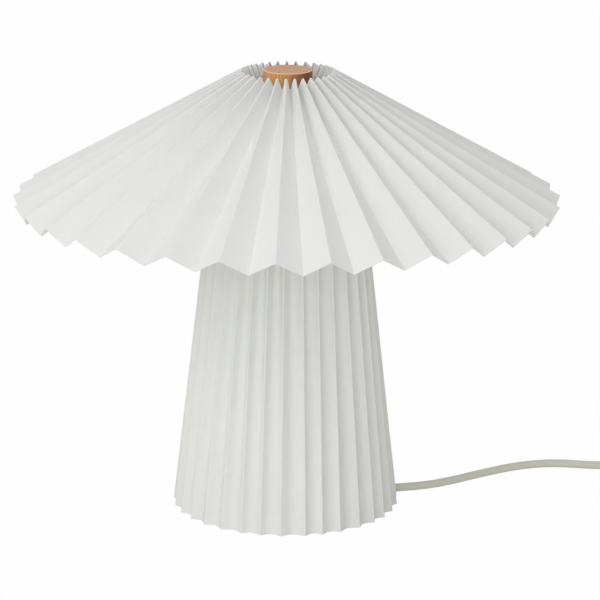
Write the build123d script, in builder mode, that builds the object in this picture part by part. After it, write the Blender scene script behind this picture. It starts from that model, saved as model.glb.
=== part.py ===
"""Pleated paper table lamp, in millimetres.

A wide pleated paper shade hangs by its wire frame on the stud of a harp and is held down by a
turned wooden knob. The harp, the lamp holder and a pleated paper sleeve stand on a steel stem,
which is screwed to a heavy round plate. The flex leaves under the plate, carries a rocker switch,
and its spare length lies in a tied coil.

+Z is up, the origin is the middle of the face that the lamp stands on, and -Y is the front.
"""

from build123d import *

import os
from math import cos, pi, radians, sin, sqrt, tan

os.makedirs("parts", exist_ok=True)

# ---------------------------------------------------------------- driving dimensions

FRONT = -90.0  # direction of the front of the lamp, in degrees from +X
PAPER = 0.5  # thickness of the pleated sheet

# The shade: its outer folds run from the top ring to the rim, and its inner folds lie below them.
SHADE_PLEATS = 34
SHADE_TURN = FRONT - 2.0  # direction of the outer fold nearest the front
SHADE_TOP_R = 35.5
SHADE_TOP_Z = 345.0
SHADE_RIM_R = 210.0
SHADE_RIM_Z = 247.5
SHADE_TOP_DEPTH = 10.5
SHADE_RIM_DEPTH = 12.2

# The sleeve: the same kind of pleats, nearly upright.
SLEEVE_PLEATS = 32
SLEEVE_TURN = FRONT
SLEEVE_BOTTOM_Z = 0.8
SLEEVE_TOP_Z = 255.0
SLEEVE_BOTTOM_R = 88.3
SLEEVE_TOP_R = 58.8
SLEEVE_BOTTOM_DEPTH = 6.0
SLEEVE_TOP_DEPTH = 8.8

# The wire frames glued inside the two papers.
FRAME_WIRE_R = 1.3
GLUE = 0.1  # how far a frame wire sinks into the paper's glue line
TOP_RING_R = 33.0
HOOP_R = 150.0
RIB_COUNT = 6
SPOKE_COUNT = 3

# The weighted foot and the stem.
PAD_H = 2.5
PAD_R = 6.0
PAD_COUNT = 4
PAD_CIRCLE_R = 66.0
PAD_SUNK = 0.5
PLATE_Z = PAD_H - PAD_SUNK
PLATE_TOP_Z = 11.0
PLATE_HOLE_R = 6.0
FLANGE_R = 22.0
FLANGE_H = 3.0
FLANGE_SCREWS = 3
FLANGE_SCREW_CIRCLE_R = 16.0
STEM_R = 6.5
STEM_BORE_R = 5.0
STEM_TOP_Z = 176.0
NIPPLE_R = 4.95
NIPPLE_BORE_R = 3.6
NIPPLE_BOTTOM_Z = 158.0
NIPPLE_TOP_Z = 190.0
NUT_H = 4.0
NUT_FLATS = 14.0
SHEET = 1.6  # thickness of the pressed steel hubs and of the harp's saddle

# The lamp holder and the bulb, of the common 27 mm screw size.
CAP_H = 20.0
HOLDER_R = 19.0
HOLDER_WALL = 1.8
SKIRT_TOP_Z = 238.0
INSERT_H = 10.0
SCREW_SHELL_R = 14.3
SCREW_SHELL_BORE_R = 13.5
SCREW_SHELL_H = 25.0
BULB_CAP_R = 13.1
BULB_R = 22.5
BULB_LENGTH = 78.0

# The harp, its stud and the knob.
HARP_WIRE_R = 1.75
HARP_FOOT_X = 27.0
HARP_HALF_W = 36.0
HARP_TOP_Z = 316.0
STUD_SHOULDER_Z = 318.0
STUD_COLLAR_R = 6.0
STUD_R = 3.0
STUD_TOP_Z = 331.6
WASHER_H = 1.0
KNOB_R = 18.7
KNOB_TOP_Z = 345.4
INSERT_R = 5.0

# The flex: where it leaves the plate, its route over the table and its coil.
CORD_D = 6.4
CORD_R = CORD_D / 2
EXIT_TURN = 10.5  # direction of the exit, in degrees from +X
EXIT_Z = 5.0
GROOVE_W = 9.6
GROOVE_TOP_Z = 9.4
BUSH_LENGTH = 26.0
FLEX_END_R = 30.0  # where the sheath is stripped, from the lamp's axis
CLAMP_R = 44.0
LEAD_R = 1.1

# The in-line switch.
SWITCH_X = 320.4
SWITCH_Y = 62.5
SWITCH_TURN = -12.0  # direction of the switch's long side, in degrees from +X
SWITCH_L = 58.0
SWITCH_W = 24.0
SWITCH_H = 16.0
SWITCH_SPLIT_Z = 8.0
SWITCH_CORD_Z = 6.2
SWITCH_WALL = 1.8
ROCKER_L = 20.0
ROCKER_W = 10.0
ROCKER_Z = 12.6  # height of the rocker's axle
ROCKER_TILT = 8.0

# The coil: two layers that wind in and out again round one centre, clockwise from above.
COIL_X = 345.0
COIL_Y = -26.0
COIL_OUTER_R = 47.4
COIL_STEP = 7.15  # from one turn to the next, and from one layer to the next
COIL_TURNS = 6.0
TIE_STRAP = 0.8
TIE_WIDTH = 9.0
COIL_LOW_Z = CORD_R + TIE_STRAP + 0.3
COIL_HIGH_Z = COIL_LOW_Z + COIL_STEP

# The plug.
PLUG_X = 383.0
PLUG_Y = -144.0  # where the flex enters it
PLUG_Z = 6.9
PLUG_BOOT_L = 12.0
PLUG_BODY_L = 30.0
PLUG_W = 35.0
PLUG_T = 13.6
PIN_R = 2.0
PIN_L = 19.0
PIN_GAP = 19.0


# ---------------------------------------------------------------- shared helpers


def save(piece, name):
    """Labels a finished piece and writes it to its own file."""
    piece.part.label = name
    export_step(piece.part, f"parts/{name}.step")


def polar(radius, turn, z=0.0):
    """A point at a distance and a direction from the lamp's axis."""
    return (radius * cos(radians(turn)), radius * sin(radians(turn)), z)


def groove_plane(radius):
    """A plane that faces out along the flex's groove, at a distance from the lamp's axis."""
    return Plane(
        origin=polar(radius, EXIT_TURN),
        x_dir=polar(1, EXIT_TURN + 90),
        z_dir=polar(1, EXIT_TURN),
    )


def disc(radius, bottom, top, bore=0.0):
    """Adds a round plate or tube on the lamp's axis to the part being built."""
    with BuildSketch(Plane.XY.offset(bottom)) as face:
        Circle(radius)
        if bore:
            Circle(bore, mode=Mode.SUBTRACT)
    extrude(face.sketch, amount=top - bottom)


def turned(*outline):
    """Adds the body that an (r, z) outline makes when turned round the lamp's axis."""
    with BuildSketch(Plane.XZ) as half:
        with BuildLine():
            Polyline(*outline, close=True)
        make_face()
    revolve(half.sketch, axis=Axis.Z)


def ring(radius, z, wire_r):
    """Adds a round wire ring to the part being built."""
    with BuildSketch(Plane.XZ) as section:
        with Locations((radius, z)):
            Circle(wire_r)
    revolve(section.sketch, axis=Axis.Z)


def rod(start, end, radius):
    """Adds a straight round rod to the part being built."""
    span = Vector(*end) - Vector(*start)
    with BuildSketch(Plane(origin=start, z_dir=span)) as section:
        Circle(radius)
    extrude(section.sketch, amount=span.length)


def bent_wire(points, radius, bend):
    """Adds a round wire along straight runs that are joined by bends of one radius."""
    with BuildLine() as path:
        FilletPolyline(*points, radius=bend)
    with BuildSketch(Plane(origin=path.line @ 0, z_dir=path.line % 0)) as section:
        Circle(radius)
    sweep(section.sketch, path=path.line)


def screw(x, y, head_z, tip_z, shank_r, head_r):
    """Adds a countersunk screw that points up, with its head's face at head_z."""
    with BuildSketch(Plane(origin=(x, y, head_z), x_dir=(1, 0, 0), z_dir=(0, -1, 0))) as half:
        with BuildLine():
            Polyline(
                (0, 0),
                (head_r, 0),
                (shank_r, head_r - shank_r),
                (shank_r, tip_z - head_z),
                (0, tip_z - head_z),
                close=True,
            )
        make_face()
    revolve(half.sketch, axis=Axis((x, y, 0), (0, 0, 1)))


# ---------------------------------------------------------------- pleats


def along(start, end, z):
    """The radius at height z of a straight fold line through two (r, z) points."""
    share = (z - start[1]) / (end[1] - start[1])
    return start[0] + share * (end[0] - start[0])


def fold_shift(outer, inner, z, count):
    """How far in the inner face's folds lie, for an even sheet, at the height z."""
    half = pi / count
    r_out, r_in = along(*outer, z), along(*inner, z)
    across = Vector(r_in * cos(half) - r_out, r_in * sin(half), 0)
    shifts = []
    for line, turn in ((outer, 0.0), (inner, half)):
        slope = (line[1][0] - line[0][0]) / (line[1][1] - line[0][1])
        fold = Vector(slope * cos(turn), slope * sin(turn), 1)
        normal = across.cross(fold).normalized()
        shifts.append(PAPER / abs(normal.dot(Vector(cos(turn), sin(turn), 0))))
    return shifts


def pleat_outline(r_out, r_in, count, turn, z):
    """The closed zigzag face through all the folds at one height."""
    points = []
    for fold in range(count):
        at = turn + fold * 360 / count
        points.append(polar(r_out, at)[:2])
        points.append(polar(r_in, at + 180 / count)[:2])
    with BuildSketch(Plane.XY.offset(z)) as outline:
        with BuildLine():
            Polyline(*points, close=True)
        make_face()
    return outline.sketch


def pleated_sheet(outer, inner, heights, count, turn):
    """Adds a pleated sheet between two heights: ruled facets, hollow inside."""
    outside, inside = [], []
    for z in heights:
        r_out, r_in = along(*outer, z), along(*inner, z)
        back_out, back_in = fold_shift(outer, inner, z, count)
        outside.append(pleat_outline(r_out, r_in, count, turn, z))
        inside.append(pleat_outline(r_out - back_out, r_in - back_in, count, turn, z))
    loft(outside, ruled=True)
    loft(inside, ruled=True, mode=Mode.SUBTRACT)


# The shade's fold lines, as (r, z) points at the top and at the rim.
RUN = Vector(SHADE_RIM_R - SHADE_TOP_R, SHADE_RIM_Z - SHADE_TOP_Z).normalized()
OUTWARD = Vector(-RUN.Y, RUN.X)  # square to the shade's slope, up and out
OUTER_FOLD = ((SHADE_TOP_R, SHADE_TOP_Z), (SHADE_RIM_R, SHADE_RIM_Z))
INNER_FOLD = (
    (SHADE_TOP_R - SHADE_TOP_DEPTH * OUTWARD.X, SHADE_TOP_Z - SHADE_TOP_DEPTH * OUTWARD.Y),
    (SHADE_RIM_R - SHADE_RIM_DEPTH * OUTWARD.X, SHADE_RIM_Z - SHADE_RIM_DEPTH * OUTWARD.Y),
)
BAND_OUT = 4.0  # how far the trimming band stands out of the folds, and in
BAND_IN = 20.0
LOFT_SPARE = 3.0  # how far the facets are made past their cut ends
SHADE_HEIGHTS = (INNER_FOLD[1][1] - LOFT_SPARE, SHADE_TOP_Z + LOFT_SPARE)

with BuildPart() as shade_paper:
    pleated_sheet(OUTER_FOLD, INNER_FOLD, SHADE_HEIGHTS, SHADE_PLEATS, SHADE_TURN)
    # Both ends are cut square to the slope, so the inner folds end lower than the outer ones.
    with BuildSketch(Plane.XZ):
        with BuildLine():
            Polyline(
                (SHADE_TOP_R + BAND_OUT * OUTWARD.X, SHADE_TOP_Z + BAND_OUT * OUTWARD.Y),
                (SHADE_RIM_R + BAND_OUT * OUTWARD.X, SHADE_RIM_Z + BAND_OUT * OUTWARD.Y),
                (SHADE_RIM_R - BAND_IN * OUTWARD.X, SHADE_RIM_Z - BAND_IN * OUTWARD.Y),
                (SHADE_TOP_R - BAND_IN * OUTWARD.X, SHADE_TOP_Z - BAND_IN * OUTWARD.Y),
                close=True,
            )
        make_face()
    revolve(axis=Axis.Z, mode=Mode.INTERSECT)
save(shade_paper, "shade_paper")

SLEEVE_OUTER_FOLD = ((SLEEVE_BOTTOM_R, SLEEVE_BOTTOM_Z), (SLEEVE_TOP_R, SLEEVE_TOP_Z))
SLEEVE_INNER_FOLD = (
    (SLEEVE_BOTTOM_R - SLEEVE_BOTTOM_DEPTH, SLEEVE_BOTTOM_Z),
    (SLEEVE_TOP_R - SLEEVE_TOP_DEPTH, SLEEVE_TOP_Z),
)
SLEEVE_HEIGHTS = (SLEEVE_BOTTOM_Z, SLEEVE_TOP_Z)
NOTCH_W = 9.0
NOTCH_TOP_Z = 10.0

with BuildPart() as sleeve_paper:
    pleated_sheet(SLEEVE_OUTER_FOLD, SLEEVE_INNER_FOLD, SLEEVE_HEIGHTS, SLEEVE_PLEATS, SLEEVE_TURN)
    # The notch in the bottom edge that the flex comes out of.
    with BuildSketch(groove_plane(SLEEVE_BOTTOM_R - 20)):
        with Locations((0, NOTCH_TOP_Z / 2 - 1)):
            RectangleRounded(NOTCH_W, NOTCH_TOP_Z + 2, NOTCH_W / 2 - 0.1)
    extrude(amount=30, mode=Mode.SUBTRACT)
save(sleeve_paper, "sleeve_paper")


def back_line(outer, inner, heights, count):
    """The (r, z) ends of the line along the backs of the inner folds, where frames are glued."""
    return [(along(*inner, z) - fold_shift(outer, inner, z, count)[1], z) for z in heights]


SHADE_BACK = back_line(OUTER_FOLD, INNER_FOLD, SHADE_HEIGHTS, SHADE_PLEATS)
SLEEVE_BACK = back_line(SLEEVE_OUTER_FOLD, SLEEVE_INNER_FOLD, SLEEVE_HEIGHTS, SLEEVE_PLEATS)


# ---------------------------------------------------------------- the shade's wire frame

def under_shade(radius):
    """The (r, z) middle of a frame wire that is glued under the inner folds."""
    (low_r, low_z), (high_r, high_z) = SHADE_BACK
    slope = Vector(low_r - high_r, low_z - high_z).normalized()
    touch = Vector(radius, low_z + (low_r - radius) * (high_z - low_z) / (low_r - high_r))
    at = touch - Vector(-slope.Y, slope.X) * (FRAME_WIRE_R - GLUE)
    return (at.X, at.Y)


TOP_RING_AT = under_shade(TOP_RING_R)
HOOP_AT = under_shade(HOOP_R)
HUB_R = 13.0
HUB_HOLE_R = 3.3
SPOKE_BEND = 5.0

with BuildPart() as shade_top_ring:
    ring(*TOP_RING_AT, FRAME_WIRE_R)
save(shade_top_ring, "shade_top_ring")

with BuildPart() as shade_hoop:
    ring(*HOOP_AT, FRAME_WIRE_R)
save(shade_hoop, "shade_hoop")

with BuildPart() as shade_ribs:
    for rib in range(RIB_COUNT):
        fold = round(rib * SHADE_PLEATS / RIB_COUNT) + 0.5
        at = SHADE_TURN + fold * 360 / SHADE_PLEATS
        rod(polar(TOP_RING_AT[0], at, TOP_RING_AT[1]), polar(HOOP_AT[0], at, HOOP_AT[1]), FRAME_WIRE_R)
save(shade_ribs, "shade_ribs")

with BuildPart() as shade_spider:
    disc(HUB_R, STUD_SHOULDER_Z, STUD_SHOULDER_Z + SHEET, HUB_HOLE_R)
    for spoke in range(SPOKE_COUNT):
        at = 90 + spoke * 360 / SPOKE_COUNT
        spoke_z = STUD_SHOULDER_Z + SHEET - FRAME_WIRE_R - 0.1
        bent_wire(
            (
                polar(HUB_R - 3, at, spoke_z),
                polar(HUB_R + 9, at, spoke_z),
                polar(TOP_RING_AT[0], at, TOP_RING_AT[1]),
            ),
            FRAME_WIRE_R,
            SPOKE_BEND,
        )
save(shade_spider, "shade_spider")

with BuildPart() as shade_washer:
    disc(HUB_R - 4, STUD_SHOULDER_Z + SHEET, STUD_SHOULDER_Z + SHEET + WASHER_H, HUB_HOLE_R)
save(shade_washer, "shade_washer")

# ---------------------------------------------------------------- the knob

KNOB_BOTTOM_Z = STUD_SHOULDER_Z + SHEET + WASHER_H
KNOB_HOLE_TOP_Z = 336.0
KNOB_EDGE = 0.8

with BuildPart() as knob:
    disc(KNOB_R, KNOB_BOTTOM_Z, KNOB_TOP_Z)
    fillet(knob.edges().filter_by(GeomType.CIRCLE).group_by(Axis.Z)[-1], KNOB_EDGE)
    chamfer(knob.edges().filter_by(GeomType.CIRCLE).group_by(Axis.Z)[0], KNOB_EDGE)
    with BuildSketch(Plane.XY.offset(KNOB_BOTTOM_Z)):
        Circle(INSERT_R)
    extrude(amount=KNOB_HOLE_TOP_Z - KNOB_BOTTOM_Z, mode=Mode.SUBTRACT)
save(knob, "knob")

with BuildPart() as knob_insert:
    disc(INSERT_R, KNOB_BOTTOM_Z, KNOB_HOLE_TOP_Z, STUD_R + 0.05)
save(knob_insert, "knob_insert")

# ---------------------------------------------------------------- the foot


PLATE_R = along(*SLEEVE_BACK, PLATE_TOP_Z) - 0.15
SCREW_HEAD_R = 4.0
SCREW_SHANK_R = 2.0
CLAMP_SCREW_R = 1.5
CLAMP_SCREW_HEAD_R = 2.6
CLAMP_SCREW_TIP_Z = 9.0
CLAMP_SCREW_OUT = 10.0
CLAMP_L = 27.0
CLAMP_W = 9.0
CLAMP_Z = 0.7
flange_screw_turns = [EXIT_TURN + 60 + k * 360 / FLANGE_SCREWS for k in range(FLANGE_SCREWS)]
clamp_screw_spots = [
    tuple(groove_plane(CLAMP_R).from_local_coords(Vector(side * CLAMP_SCREW_OUT, 0, 0)))[:2]
    for side in (-1, 1)
]

with BuildPart() as base_plate:
    disc(PLATE_R, PLATE_Z, PLATE_TOP_Z, PLATE_HOLE_R)
    chamfer(base_plate.edges().group_by(Axis.Z)[-1].sort_by(SortBy.LENGTH)[-1], 1.0)
    with BuildSketch(groove_plane(0)):
        with Locations((0, (GROOVE_TOP_Z + PLATE_Z) / 2 - 1)):
            Rectangle(GROOVE_W, GROOVE_TOP_Z - PLATE_Z + 2)
    extrude(amount=PLATE_R + 10, mode=Mode.SUBTRACT)
    with BuildSketch(Plane.XY.offset(PLATE_Z)):
        with PolarLocations(PAD_CIRCLE_R, PAD_COUNT, start_angle=45):
            Circle(PAD_R)
    extrude(amount=PAD_SUNK, mode=Mode.SUBTRACT)
    for at in flange_screw_turns:
        with Locations(Plane(origin=polar(FLANGE_SCREW_CIRCLE_R, at, PLATE_Z), z_dir=(0, 0, -1))):
            CounterSinkHole(SCREW_SHANK_R + 0.1, SCREW_HEAD_R + 0.1, PLATE_TOP_Z, 90)
    for x, y in clamp_screw_spots:
        with Locations(Plane(origin=(x, y, PLATE_Z), z_dir=(0, 0, -1))):
            Hole(CLAMP_SCREW_R, CLAMP_SCREW_TIP_Z - PLATE_Z)
save(base_plate, "base_plate")

with BuildPart() as foot_pads:
    with BuildSketch():
        with PolarLocations(PAD_CIRCLE_R, PAD_COUNT, start_angle=45):
            Circle(PAD_R)
    extrude(amount=PAD_H)
save(foot_pads, "foot_pads")

with BuildPart() as stem_flange:
    disc(FLANGE_R, PLATE_TOP_Z, PLATE_TOP_Z + FLANGE_H, STEM_R)
    chamfer(stem_flange.edges().group_by(Axis.Z)[-1].sort_by(SortBy.LENGTH)[-1], 0.8)
    with BuildSketch(Plane.XY.offset(PLATE_TOP_Z)):
        with PolarLocations(FLANGE_SCREW_CIRCLE_R, FLANGE_SCREWS, start_angle=EXIT_TURN + 60):
            Circle(SCREW_SHANK_R)
    extrude(amount=FLANGE_H, mode=Mode.SUBTRACT)
save(stem_flange, "stem_flange")

with BuildPart() as flange_screws:
    for at in flange_screw_turns:
        x, y, _ = polar(FLANGE_SCREW_CIRCLE_R, at)
        screw(x, y, PLATE_Z + 0.1, PLATE_TOP_Z + FLANGE_H, SCREW_SHANK_R - 0.05, SCREW_HEAD_R - 0.05)
save(flange_screws, "flange_screws")

with BuildPart() as stem_tube:
    disc(STEM_R, PLATE_TOP_Z, STEM_TOP_Z, STEM_BORE_R)
save(stem_tube, "stem_tube")

with BuildPart() as stem_nipple:
    disc(NIPPLE_R, NIPPLE_BOTTOM_Z, NIPPLE_TOP_Z, NIPPLE_BORE_R)
save(stem_nipple, "stem_nipple")

NUT_TOP_Z = STEM_TOP_Z + NUT_H

with BuildPart() as stem_nut:
    with BuildSketch(Plane.XY.offset(STEM_TOP_Z)):
        RegularPolygon(NUT_FLATS / 2, 6, major_radius=False)
        Circle(STEM_BORE_R, mode=Mode.SUBTRACT)
    extrude(amount=NUT_H)
    chamfer(stem_nut.edges().filter_by(GeomType.LINE).group_by(Axis.Z)[-1], 0.6)
save(stem_nut, "stem_nut")

# ---------------------------------------------------------------- the sleeve's wire frame

LOWER_RING_Z = PLATE_TOP_Z + FRAME_WIRE_R
UPPER_RING_Z = SLEEVE_TOP_Z - 5.0
SLEEVE_HUB_R = 13.0
SPIDER_TOP_Z = NUT_TOP_Z + SHEET
UPPER_RING_R = along(*SLEEVE_BACK, UPPER_RING_Z) - FRAME_WIRE_R + GLUE
LOWER_RING_R = along(*SLEEVE_BACK, LOWER_RING_Z) - FRAME_WIRE_R + GLUE

with BuildPart() as sleeve_lower_ring:
    ring(LOWER_RING_R, LOWER_RING_Z, FRAME_WIRE_R)
save(sleeve_lower_ring, "sleeve_lower_ring")

with BuildPart() as sleeve_upper_ring:
    ring(UPPER_RING_R, UPPER_RING_Z, FRAME_WIRE_R)
save(sleeve_upper_ring, "sleeve_upper_ring")

with BuildPart() as sleeve_spider:
    disc(SLEEVE_HUB_R, NUT_TOP_Z, SPIDER_TOP_Z, STEM_BORE_R + 0.1)
    for spoke in range(SPOKE_COUNT):
        at = 90 + spoke * 360 / SPOKE_COUNT
        spoke_z = NUT_TOP_Z
        bent_wire(
            (
                polar(SLEEVE_HUB_R - 3, at, spoke_z),
                polar(SLEEVE_HUB_R + 14, at, spoke_z),
                polar(UPPER_RING_R, at, UPPER_RING_Z),
            ),
            FRAME_WIRE_R,
            SPOKE_BEND * 2,
        )
save(sleeve_spider, "sleeve_spider")

# ---------------------------------------------------------------- the harp

SADDLE_TOP_Z = SPIDER_TOP_Z + SHEET
SADDLE_L = 2 * HARP_FOOT_X + 11
SADDLE_W = 14.0
HARP_BEND = 14.0

with BuildPart() as harp_saddle:
    with BuildSketch(Plane.XY.offset(SPIDER_TOP_Z)):
        SlotOverall(SADDLE_L, SADDLE_W)
        Circle(STEM_BORE_R + 0.1, mode=Mode.SUBTRACT)
        with Locations((-HARP_FOOT_X, 0), (HARP_FOOT_X, 0)):
            Circle(HARP_WIRE_R, mode=Mode.SUBTRACT)
    extrude(amount=SHEET)
save(harp_saddle, "harp_saddle")

with BuildPart() as harp_wire:
    with BuildLine(Plane.XZ) as harp_path:
        FilletPolyline(
            (-HARP_FOOT_X, SPIDER_TOP_Z - 0.6),
            (-HARP_FOOT_X, SADDLE_TOP_Z + 14),
            (-HARP_HALF_W, SADDLE_TOP_Z + 42),
            (-HARP_HALF_W, HARP_TOP_Z),
            (HARP_HALF_W, HARP_TOP_Z),
            (HARP_HALF_W, SADDLE_TOP_Z + 42),
            (HARP_FOOT_X, SADDLE_TOP_Z + 14),
            (HARP_FOOT_X, SPIDER_TOP_Z - 0.6),
            radius=[HARP_BEND, HARP_BEND, HARP_HALF_W - 5, HARP_HALF_W - 5, HARP_BEND, HARP_BEND],
        )
    with BuildSketch(Plane(origin=harp_path.line @ 0, z_dir=harp_path.line % 0)):
        Circle(HARP_WIRE_R)
    sweep(path=harp_path.line)
save(harp_wire, "harp_wire")

with BuildPart() as finial_stud:
    disc(STUD_COLLAR_R, STUD_SHOULDER_Z - 4.4, STUD_SHOULDER_Z)
    disc(STUD_R, STUD_SHOULDER_Z, STUD_TOP_Z)
    chamfer(finial_stud.edges().filter_by(GeomType.CIRCLE).group_by(Axis.Z)[-1], 0.6)
save(finial_stud, "finial_stud")

# ---------------------------------------------------------------- the lamp holder

CAP_BOTTOM_Z = SADDLE_TOP_Z
CAP_TOP_Z = CAP_BOTTOM_Z + CAP_H
CAP_NECK_R = 9.0
SKIRT_BORE_R = 15.5
INSERT_BOTTOM_Z = CAP_TOP_Z - 7.0
INSERT_TOP_Z = INSERT_BOTTOM_Z + INSERT_H
CONTACT_TOP_Z = INSERT_TOP_Z + 2.3
INNER_CAP_R = HOLDER_R - HOLDER_WALL

with BuildPart() as holder_cap:
    turned(
        (STEM_BORE_R, CAP_BOTTOM_Z),
        (CAP_NECK_R, CAP_BOTTOM_Z),
        (CAP_NECK_R, CAP_BOTTOM_Z + 3),
        (HOLDER_R - 2, CAP_BOTTOM_Z + 8.5),
        (HOLDER_R, CAP_BOTTOM_Z + 12),
        (HOLDER_R, CAP_TOP_Z),
        (INNER_CAP_R, CAP_TOP_Z),
        (INNER_CAP_R, CAP_BOTTOM_Z + 12),
        (INNER_CAP_R - 2, CAP_BOTTOM_Z + 9.8),
        (CAP_NECK_R - 1.8, CAP_BOTTOM_Z + 4.5),
        (STEM_BORE_R, CAP_BOTTOM_Z + 4.5),
    )
save(holder_cap, "holder_cap")

with BuildPart() as holder_skirt:
    turned(
        (SKIRT_BORE_R, INSERT_BOTTOM_Z),
        (INNER_CAP_R, INSERT_BOTTOM_Z),
        (INNER_CAP_R, CAP_TOP_Z),
        (HOLDER_R, CAP_TOP_Z),
        (HOLDER_R, CAP_TOP_Z + 6),
        (HOLDER_R - 1.2, CAP_TOP_Z + 7.5),
        (HOLDER_R - 1.6, SKIRT_TOP_Z - 1),
        (HOLDER_R - 2.4, SKIRT_TOP_Z),
        (SKIRT_BORE_R, SKIRT_TOP_Z),
    )
save(holder_skirt, "holder_skirt")

TERMINAL_X = 8.0
TERMINAL_R = 1.6

with BuildPart() as holder_insert:
    disc(SKIRT_BORE_R, INSERT_BOTTOM_Z, INSERT_TOP_Z)
    with BuildSketch(Plane.XY.offset(INSERT_BOTTOM_Z)):
        with Locations((-TERMINAL_X, 0), (TERMINAL_X, 0)):
            Circle(TERMINAL_R)
    extrude(amount=INSERT_H - 3, mode=Mode.SUBTRACT)
save(holder_insert, "holder_insert")

with BuildPart() as holder_screw_shell:
    turned(
        (SCREW_SHELL_BORE_R, INSERT_TOP_Z),
        (SKIRT_BORE_R, INSERT_TOP_Z),
        (SKIRT_BORE_R, INSERT_TOP_Z + 1),
        (SCREW_SHELL_R, INSERT_TOP_Z + 1),
        (SCREW_SHELL_R, INSERT_TOP_Z + SCREW_SHELL_H),
        (SCREW_SHELL_BORE_R, INSERT_TOP_Z + SCREW_SHELL_H),
    )
save(holder_screw_shell, "holder_screw_shell")

with BuildPart() as holder_contact:
    # A springy tongue that is riveted to the insert at one side and stands up in the middle.
    with BuildSketch(Plane.XZ):
        with BuildLine():
            Polyline(
                (-9.5, INSERT_TOP_Z),
                (-4.5, INSERT_TOP_Z),
                (-1.5, CONTACT_TOP_Z - 0.6),
                (3.0, CONTACT_TOP_Z - 0.6),
                (3.0, CONTACT_TOP_Z),
                (-1.8, CONTACT_TOP_Z),
                (-5.0, INSERT_TOP_Z + 0.6),
                (-9.5, INSERT_TOP_Z + 0.6),
                close=True,
            )
        make_face()
    extrude(amount=2.5, both=True)
save(holder_contact, "holder_contact")

# ---------------------------------------------------------------- the bulb

BULB_TIP_Z = CONTACT_TOP_Z + 0.3
BULB_CAP_Z = BULB_TIP_Z + 5.2
BULB_CAP_TOP_Z = BULB_TIP_Z + 27.0
BULB_CENTRE_Z = BULB_TIP_Z + BULB_LENGTH - BULB_R
BULB_NECK_Z = BULB_CENTRE_Z - 14.6
BULB_NECK_R = sqrt(BULB_R**2 - (BULB_CENTRE_Z - BULB_NECK_Z) ** 2)
BULB_GLASS = 1.2
CAP_SKIN = 0.7

with BuildPart() as bulb_contact:
    disc(4.6, BULB_TIP_Z, BULB_TIP_Z + 1.6)
    chamfer(bulb_contact.edges().filter_by(GeomType.CIRCLE).group_by(Axis.Z)[0], 0.7)
save(bulb_contact, "bulb_contact")

with BuildPart() as bulb_insulator:
    turned(
        (0, BULB_TIP_Z + 1.6),
        (5.2, BULB_TIP_Z + 1.6),
        (BULB_CAP_R - CAP_SKIN - 0.8, BULB_CAP_Z),
        (0, BULB_CAP_Z),
    )
save(bulb_insulator, "bulb_insulator")

with BuildPart() as bulb_cap:
    # The rolled thread is a row of rounded rings here.
    thread_rings = 5
    pitch = 3.6
    first = BULB_CAP_Z + 3.4
    with BuildSketch(Plane.XZ):
        with BuildLine():
            Polyline(
                (0, BULB_CAP_Z),
                (BULB_CAP_R - 2.0, BULB_CAP_Z),
                (BULB_CAP_R - 0.9, BULB_CAP_Z + 1.4),
                (BULB_CAP_R - 0.9, BULB_CAP_TOP_Z),
                (0, BULB_CAP_TOP_Z),
                close=True,
            )
        make_face()
    revolve(axis=Axis.Z)
    for k in range(thread_rings):
        ring(BULB_CAP_R - 1.1, first + k * pitch, 1.1)
save(bulb_cap, "bulb_cap")

with BuildPart() as bulb_collar:
    with BuildSketch(Plane.XZ):
        with BuildLine():
            foot = Line((0, BULB_CAP_TOP_Z), (BULB_CAP_R, BULB_CAP_TOP_Z))
            side = Bezier(
                foot @ 1,
                (BULB_CAP_R + 0.6, BULB_CAP_TOP_Z + 5),
                (BULB_NECK_R - 1, BULB_NECK_Z - 4),
                (BULB_NECK_R, BULB_NECK_Z),
            )
            Line(side @ 1, (0, BULB_NECK_Z))
            Line((0, BULB_NECK_Z), foot @ 0)
        make_face()
    revolve(axis=Axis.Z)
save(bulb_collar, "bulb_collar")

with BuildPart() as bulb_globe:
    with Locations((0, 0, BULB_CENTRE_Z)):
        Sphere(BULB_R)
        Sphere(BULB_R - BULB_GLASS, mode=Mode.SUBTRACT)
    split(bisect_by=Plane.XY.offset(BULB_NECK_Z), keep=Keep.TOP)
save(bulb_globe, "bulb_globe")

# ---------------------------------------------------------------- leads and flex inside the lamp

GROOVE_EXIT_R = PLATE_R + 1.0  # the flex's free length starts here

with BuildPart() as inner_flex:
    rod(polar(FLEX_END_R, EXIT_TURN, EXIT_Z), polar(GROOVE_EXIT_R, EXIT_TURN, EXIT_Z), CORD_R)
save(inner_flex, "inner_flex")

BUSH_START = polar(GROOVE_EXIT_R - BUSH_LENGTH, EXIT_TURN, EXIT_Z)

with BuildPart() as cord_bush:
    # A tapered sleeve round the flex, with grip rings at its inner end.
    with BuildSketch(Plane(origin=BUSH_START, x_dir=polar(1, EXIT_TURN), z_dir=polar(1, EXIT_TURN - 90))):
        with BuildLine():
            Polyline(
                (0, CORD_R),
                (0, 4.3),
                (2, 4.3),
                (2, 3.9),
                (4, 3.9),
                (4, 4.25),
                (6, 4.2),
                (6, 3.9),
                (8, 3.9),
                (8, 4.15),
                (BUSH_LENGTH, 3.7),
                (BUSH_LENGTH, CORD_R),
                close=True,
            )
        make_face()
    revolve(axis=Axis(BUSH_START, polar(1, EXIT_TURN)))
save(cord_bush, "cord_bush")

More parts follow.
